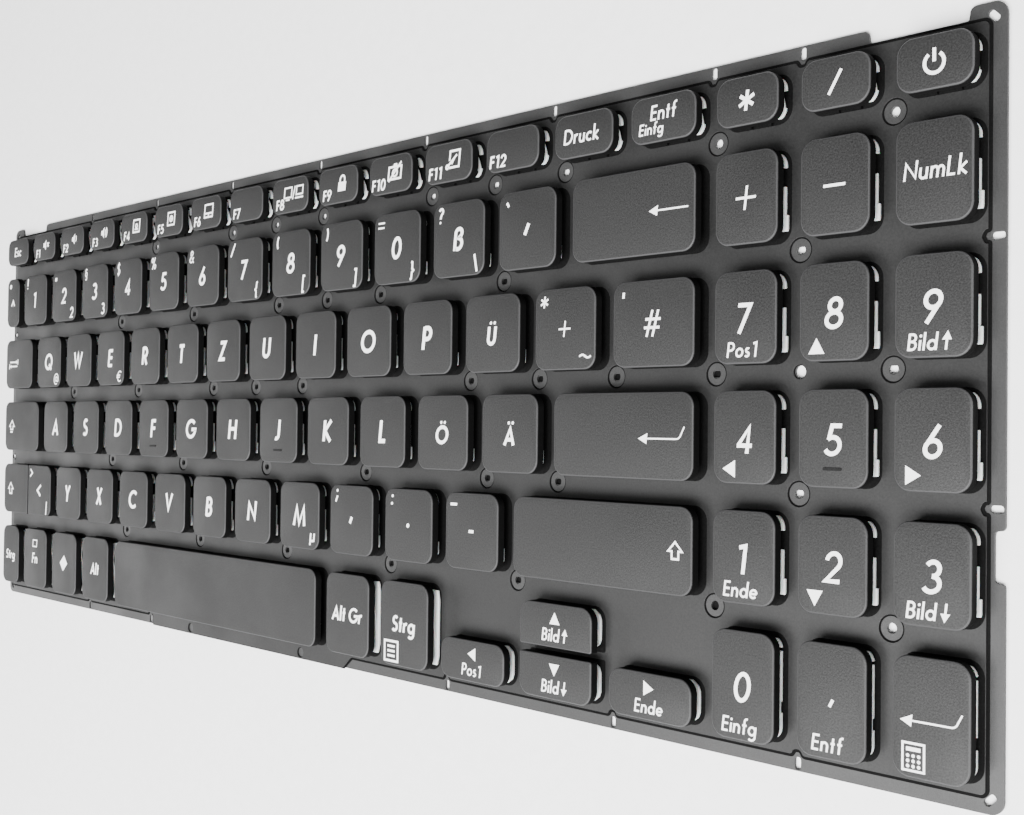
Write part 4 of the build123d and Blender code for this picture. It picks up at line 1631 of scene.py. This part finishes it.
@dataclass
class Repeats:
    """Small plate features that repeat, set out by Geometry Nodes.

    Args:
        layout: places and levels.
        collar: radius of the collars, width of their foot and crest, and height, in millimetres.
        shadow_disc: radius and depth of the dark discs that paint the shadow seen through the stake holes, in
            millimetres.
        open_x: stakes right of this line are open, in millimetres.
        open_y: stakes above this line are open, in millimetres.
        hook: width, depth and height of the hooks, in millimetres.
        hook_shares: distances of the hooks from their key's middle, as shares of its width.
        hook_inset: distance of the hooks from their key's front edge, in millimetres.
    """

    layout: KeyLayout
    collar: tuple[float, float, float, float] = (1.3, 1.0, 0.8, 0.26)
    shadow_disc: Point = (1.0, 0.108)
    open_x: float = 125.0
    open_y: float = 40.0
    hook: Solid = (0.8, 0.7, 1.2)
    hook_shares: Point = (-0.12, 0.2)
    hook_inset: float = 0.3

    def dress(self) -> None:
        """Makes the stamped collars round the stakes, the dark discs that paint the shadow in their holes,
        and the hooks that hold the levers.
        """
        rings = [hole_middle(hole) for hole in top_loops(frame["nodes"]["membrane"])[1:] if len(hole) == 6]
        collars = [(x, y, self.layout.plate) for x, y in rings]
        self._grow("stake_collars", collars, self._collar_tree(),
                   dict(zip(("Radius", "Foot", "Crest", "Height"), self.collar)))
        # Dark discs in the stake holes left of open_x and in front of open_y paint the shadow seen through
        # them.
        level = self.shadow_disc[1] / 2 + SHADOW_DISC_LIFT
        shaded_stakes = [(x, y, level) for x, y in rings if x < self.open_x and y < self.open_y]
        self._grow("stake_plugs", shaded_stakes, self._shadow_disc_tree(), dict(zip(("Radius", "Depth"), self.shadow_disc)))
        hooks = []
        for name in FIXED_ROWS[0].split():
            cell = self.layout.fixed[name]
            front = cell.y - cell.depth / 2 + self.hook_inset
            hooks += [(cell.x + share * cell.width, front, self.layout.deck) for share in self.hook_shares]
        self._grow("lever_hooks", hooks, self._hook_tree(),
                   dict(zip(("Width", "Depth", "Height"), self.hook)))

    def _grow(self, name: str, places: Sequence[Solid], tree: bpy.types.NodeTree,
              sizes: dict[str, float]) -> None:
        """Runs a tree on a set of points and keeps the result as one plain piece.

        Args:
            name: the piece's name.
            places: the points, in millimetres.
            tree: the Geometry Nodes tree.
            sizes: values for its named inputs, in millimetres.
        """
        mesh = bpy.data.meshes.new(name)
        mesh.from_pydata([tuple(value * MM for value in place) for place in places], [], [])
        piece = link(name, mesh)
        modifier = piece.modifiers.new("set_out", "NODES")
        modifier.node_group = tree
        for item in tree.interface.items_tree:
            if item.in_out == "INPUT" and item.name in sizes:
                modifier[item.identifier] = sizes[item.name] * MM
        plain_mesh(piece)
        smooth(piece.data, 40)
        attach(piece, BASE)
        LOG.info("repeats %s at %d places", name, len(places))

    @staticmethod
    def _new_tree(name: str, inputs: Sequence[str]) -> tuple[NodeTree, bpy.types.Node]:
        """Starts a tree with named number inputs.

        Args:
            name: the tree's name.
            inputs: names of its inputs.

        Returns:
            The tree and its input node.
        """
        group = bpy.data.node_groups.new(name, "GeometryNodeTree")
        group.interface.new_socket("Geometry", in_out="INPUT", socket_type="NodeSocketGeometry")
        for label in inputs:
            group.interface.new_socket(label, in_out="INPUT", socket_type="NodeSocketFloat")
        group.interface.new_socket("Geometry", in_out="OUTPUT", socket_type="NodeSocketGeometry")
        tree = NodeTree(group)
        return tree, tree.add("NodeGroupInput")

    @staticmethod
    def _set_out(tree: NodeTree, given: bpy.types.Node, shape: bpy.types.NodeSocket,
                 finish: Finish) -> bpy.types.NodeTree:
        """Ends a tree: the shape on each point, made real, in its finish.

        Args:
            tree: the tree.
            given: its input node.
            shape: output with the shape.
            finish: the shape's surface.

        Returns:
            The finished tree.
        """
        spread = tree.add("GeometryNodeInstanceOnPoints", Points=given.outputs["Geometry"], Instance=shape)
        real = tree.add("GeometryNodeRealizeInstances", Geometry=spread.outputs["Instances"])
        dressed = tree.add("GeometryNodeSetMaterial", Geometry=real.outputs["Geometry"],
                           Material=finish.material())
        out = tree.add("NodeGroupOutput")
        tree.feed(out.inputs["Geometry"], dressed.outputs["Geometry"])
        return tree.tree

    def _collar_tree(self) -> bpy.types.NodeTree:
        """Tree for a stamped collar with sloped sides on each point.

        Returns:
            The finished tree.
        """
        tree, given = self._new_tree("stake_collar", ("Radius", "Foot", "Crest", "Height"))
        ring = tree.add("GeometryNodeCurvePrimitiveCircle", Resolution=32, Radius=given.outputs["Radius"])
        profile = tree.add("GeometryNodeCurvePrimitiveQuadrilateral", {"mode": "TRAPEZOID"},
                           Bottom_Width=given.outputs["Foot"], Top_Width=given.outputs["Crest"],
                           Height=given.outputs["Height"], Offset=0.0)
        tube = tree.add("GeometryNodeCurveToMesh", Curve=ring.outputs["Curve"],
                        Profile_Curve=profile.outputs["Curve"])
        return self._set_out(tree, given, tube.outputs["Mesh"], PLATE)

    def _shadow_disc_tree(self) -> bpy.types.NodeTree:
        """Tree for a dark disc low in each shaded stake hole, which paints the shadow seen through it.

        Returns:
            The finished tree.
        """
        tree, given = self._new_tree("stake_plug", ("Radius", "Depth"))
        disc = tree.add("GeometryNodeMeshCylinder", Vertices=24, Radius=given.outputs["Radius"],
                        Depth=given.outputs["Depth"])
        return self._set_out(tree, given, disc.outputs["Mesh"], SHADE_AND_HOOK_BLACK)

    def _hook_tree(self) -> bpy.types.NodeTree:
        """Tree for a small stamped hook on each point.

        Returns:
            The finished tree.
        """
        tree, given = self._new_tree("lever_hook", ("Width", "Depth", "Height"))
        size = tree.add("ShaderNodeCombineXYZ", X=given.outputs["Width"], Y=given.outputs["Depth"],
                        Z=given.outputs["Height"])
        block = tree.add("GeometryNodeMeshCube", Size=size.outputs["Vector"])
        return self._set_out(tree, given, block.outputs["Mesh"], SHADE_AND_HOOK_BLACK)


@dataclass(frozen=True)
class Lamp:
    """Soft square lamp that looks at the part's middle.

    Args:
        name: the lamp's name.
        place: where it stands, in metres.
        size: length of its sides, in metres.
        power: its power, in watts.
    """

    name: str
    place: Solid
    size: float
    power: float

    def light(self) -> None:
        """Makes the lamp."""
        data = bpy.data.lights.new(self.name, "AREA")
        data.size = self.size
        data.energy = self.power
        lamp = link(self.name, data)
        lamp.location = self.place
        lamp.rotation_euler = (-Vector(self.place)).to_track_quat("-Z", "Y").to_euler()


LAMPS = (
    Lamp("key_light", (-0.25, -0.5, 0.85), 0.5, 18.0),
    Lamp("front_light", (0.3, -0.4, 0.6), 0.45, 19.0),
    Lamp("right_light", (0.8, -0.15, 0.5), 0.5, 5.5),
    Lamp("left_light", (-1.1, -0.12, 0.45), 0.6, 5.0),
)


@dataclass
class Studio:
    """Pale floor, soft light and the photograph's camera.

    Args:
        eye: the camera's place, in metres.
        ahead: the way that it looks.
        upward: the way that is up in its picture.
        lens: focal length, in millimetres.
        sensor: width of the picture behind the lens, in millimetres.
        floor_size: length of the floor's sides, in metres.
        floor_level: height of the floor, just under the part, in metres.
        glow: strength of the light from all round.
    """

    eye: Solid = (0.24225, -0.00387, 0.17482)
    ahead: Solid = (-0.71531, 0.01618, -0.69862)
    upward: Solid = (0.00375, 0.99981, 0.01931)
    lens: float = 45.76
    sensor: float = 36.0
    floor_size: float = 6.0
    floor_level: float = -0.0001
    glow: float = 0.14

    def dress(self) -> None:
        """Makes the stage."""
        self._camera()
        self._floor()
        for lamp in LAMPS:
            lamp.light()
        world = bpy.data.worlds.new("studio")
        world.use_nodes = True
        sky = world.node_tree.nodes["Background"].inputs
        sky["Color"].default_value = (1.0, 1.0, 1.0, 1.0)
        sky["Strength"].default_value = self.glow
        bpy.context.scene.world = world

    def _camera(self) -> None:
        """Makes the camera and looks through it."""
        data = bpy.data.cameras.new("camera")
        data.lens = self.lens
        data.sensor_width = self.sensor
        data.sensor_fit = "HORIZONTAL"
        data.clip_start = 0.01
        camera = link("camera", data)
        back = -Vector(self.ahead).normalized()
        right = Vector(self.upward).cross(back).normalized()
        upward = back.cross(right)
        turn = Matrix((right, upward, back)).transposed().to_4x4()
        camera.matrix_world = Matrix.Translation(self.eye) @ turn
        bpy.context.scene.camera = camera

    def _floor(self) -> None:
        """Makes the floor, just under the part."""
        half = self.floor_size / 2
        mesh = bpy.data.meshes.new("floor")
        corners = ((-half, -half), (half, -half), (half, half), (-half, half))
        mesh.from_pydata([(*corner, self.floor_level) for corner in corners], [], [(0, 1, 2, 3)])
        mesh.materials.append(PAPER.material())
        link("floor", mesh)


def write_sizes() -> None:
    """Brings the scene's placement up to date."""
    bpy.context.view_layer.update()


def main() -> None:
    """Builds the sub-assemblies in order, then the stage."""
    logging.basicConfig(level=logging.INFO, format="%(name)s: %(message)s")
    layout = KeyLayout()
    Sheet("base_plate", PLATE, "plate", soften=1.7).dress(0.0, layout.plate)
    film = Sheet("membrane", FILM, "membrane", soften=0.35, grow=-0.16)
    film.dress(layout.plate, layout.deck)
    film.dress_lip(layout.plate)
    # A near-black sheet round the film's edge paints the film's shadow line on the plate.
    border = replace(film, finish=SHADE_AND_HOOK_BLACK, grow=0.34)
    border.dress(layout.plate, layout.plate + SHADOW_BORDER_RISE)
    Repeats(layout).dress()
    caps = KeycapSet(layout)
    lifts = LiftSet(layout, caps)
    # Dark patches under and round the keys paint the shade there.
    lifts.dress_painted_shade()
    lifts.dress()
    lifts.dress_wires()
    caps.dress(Printer())
    Studio().dress()
    write_sizes()


if __name__ == "__main__":
    main()
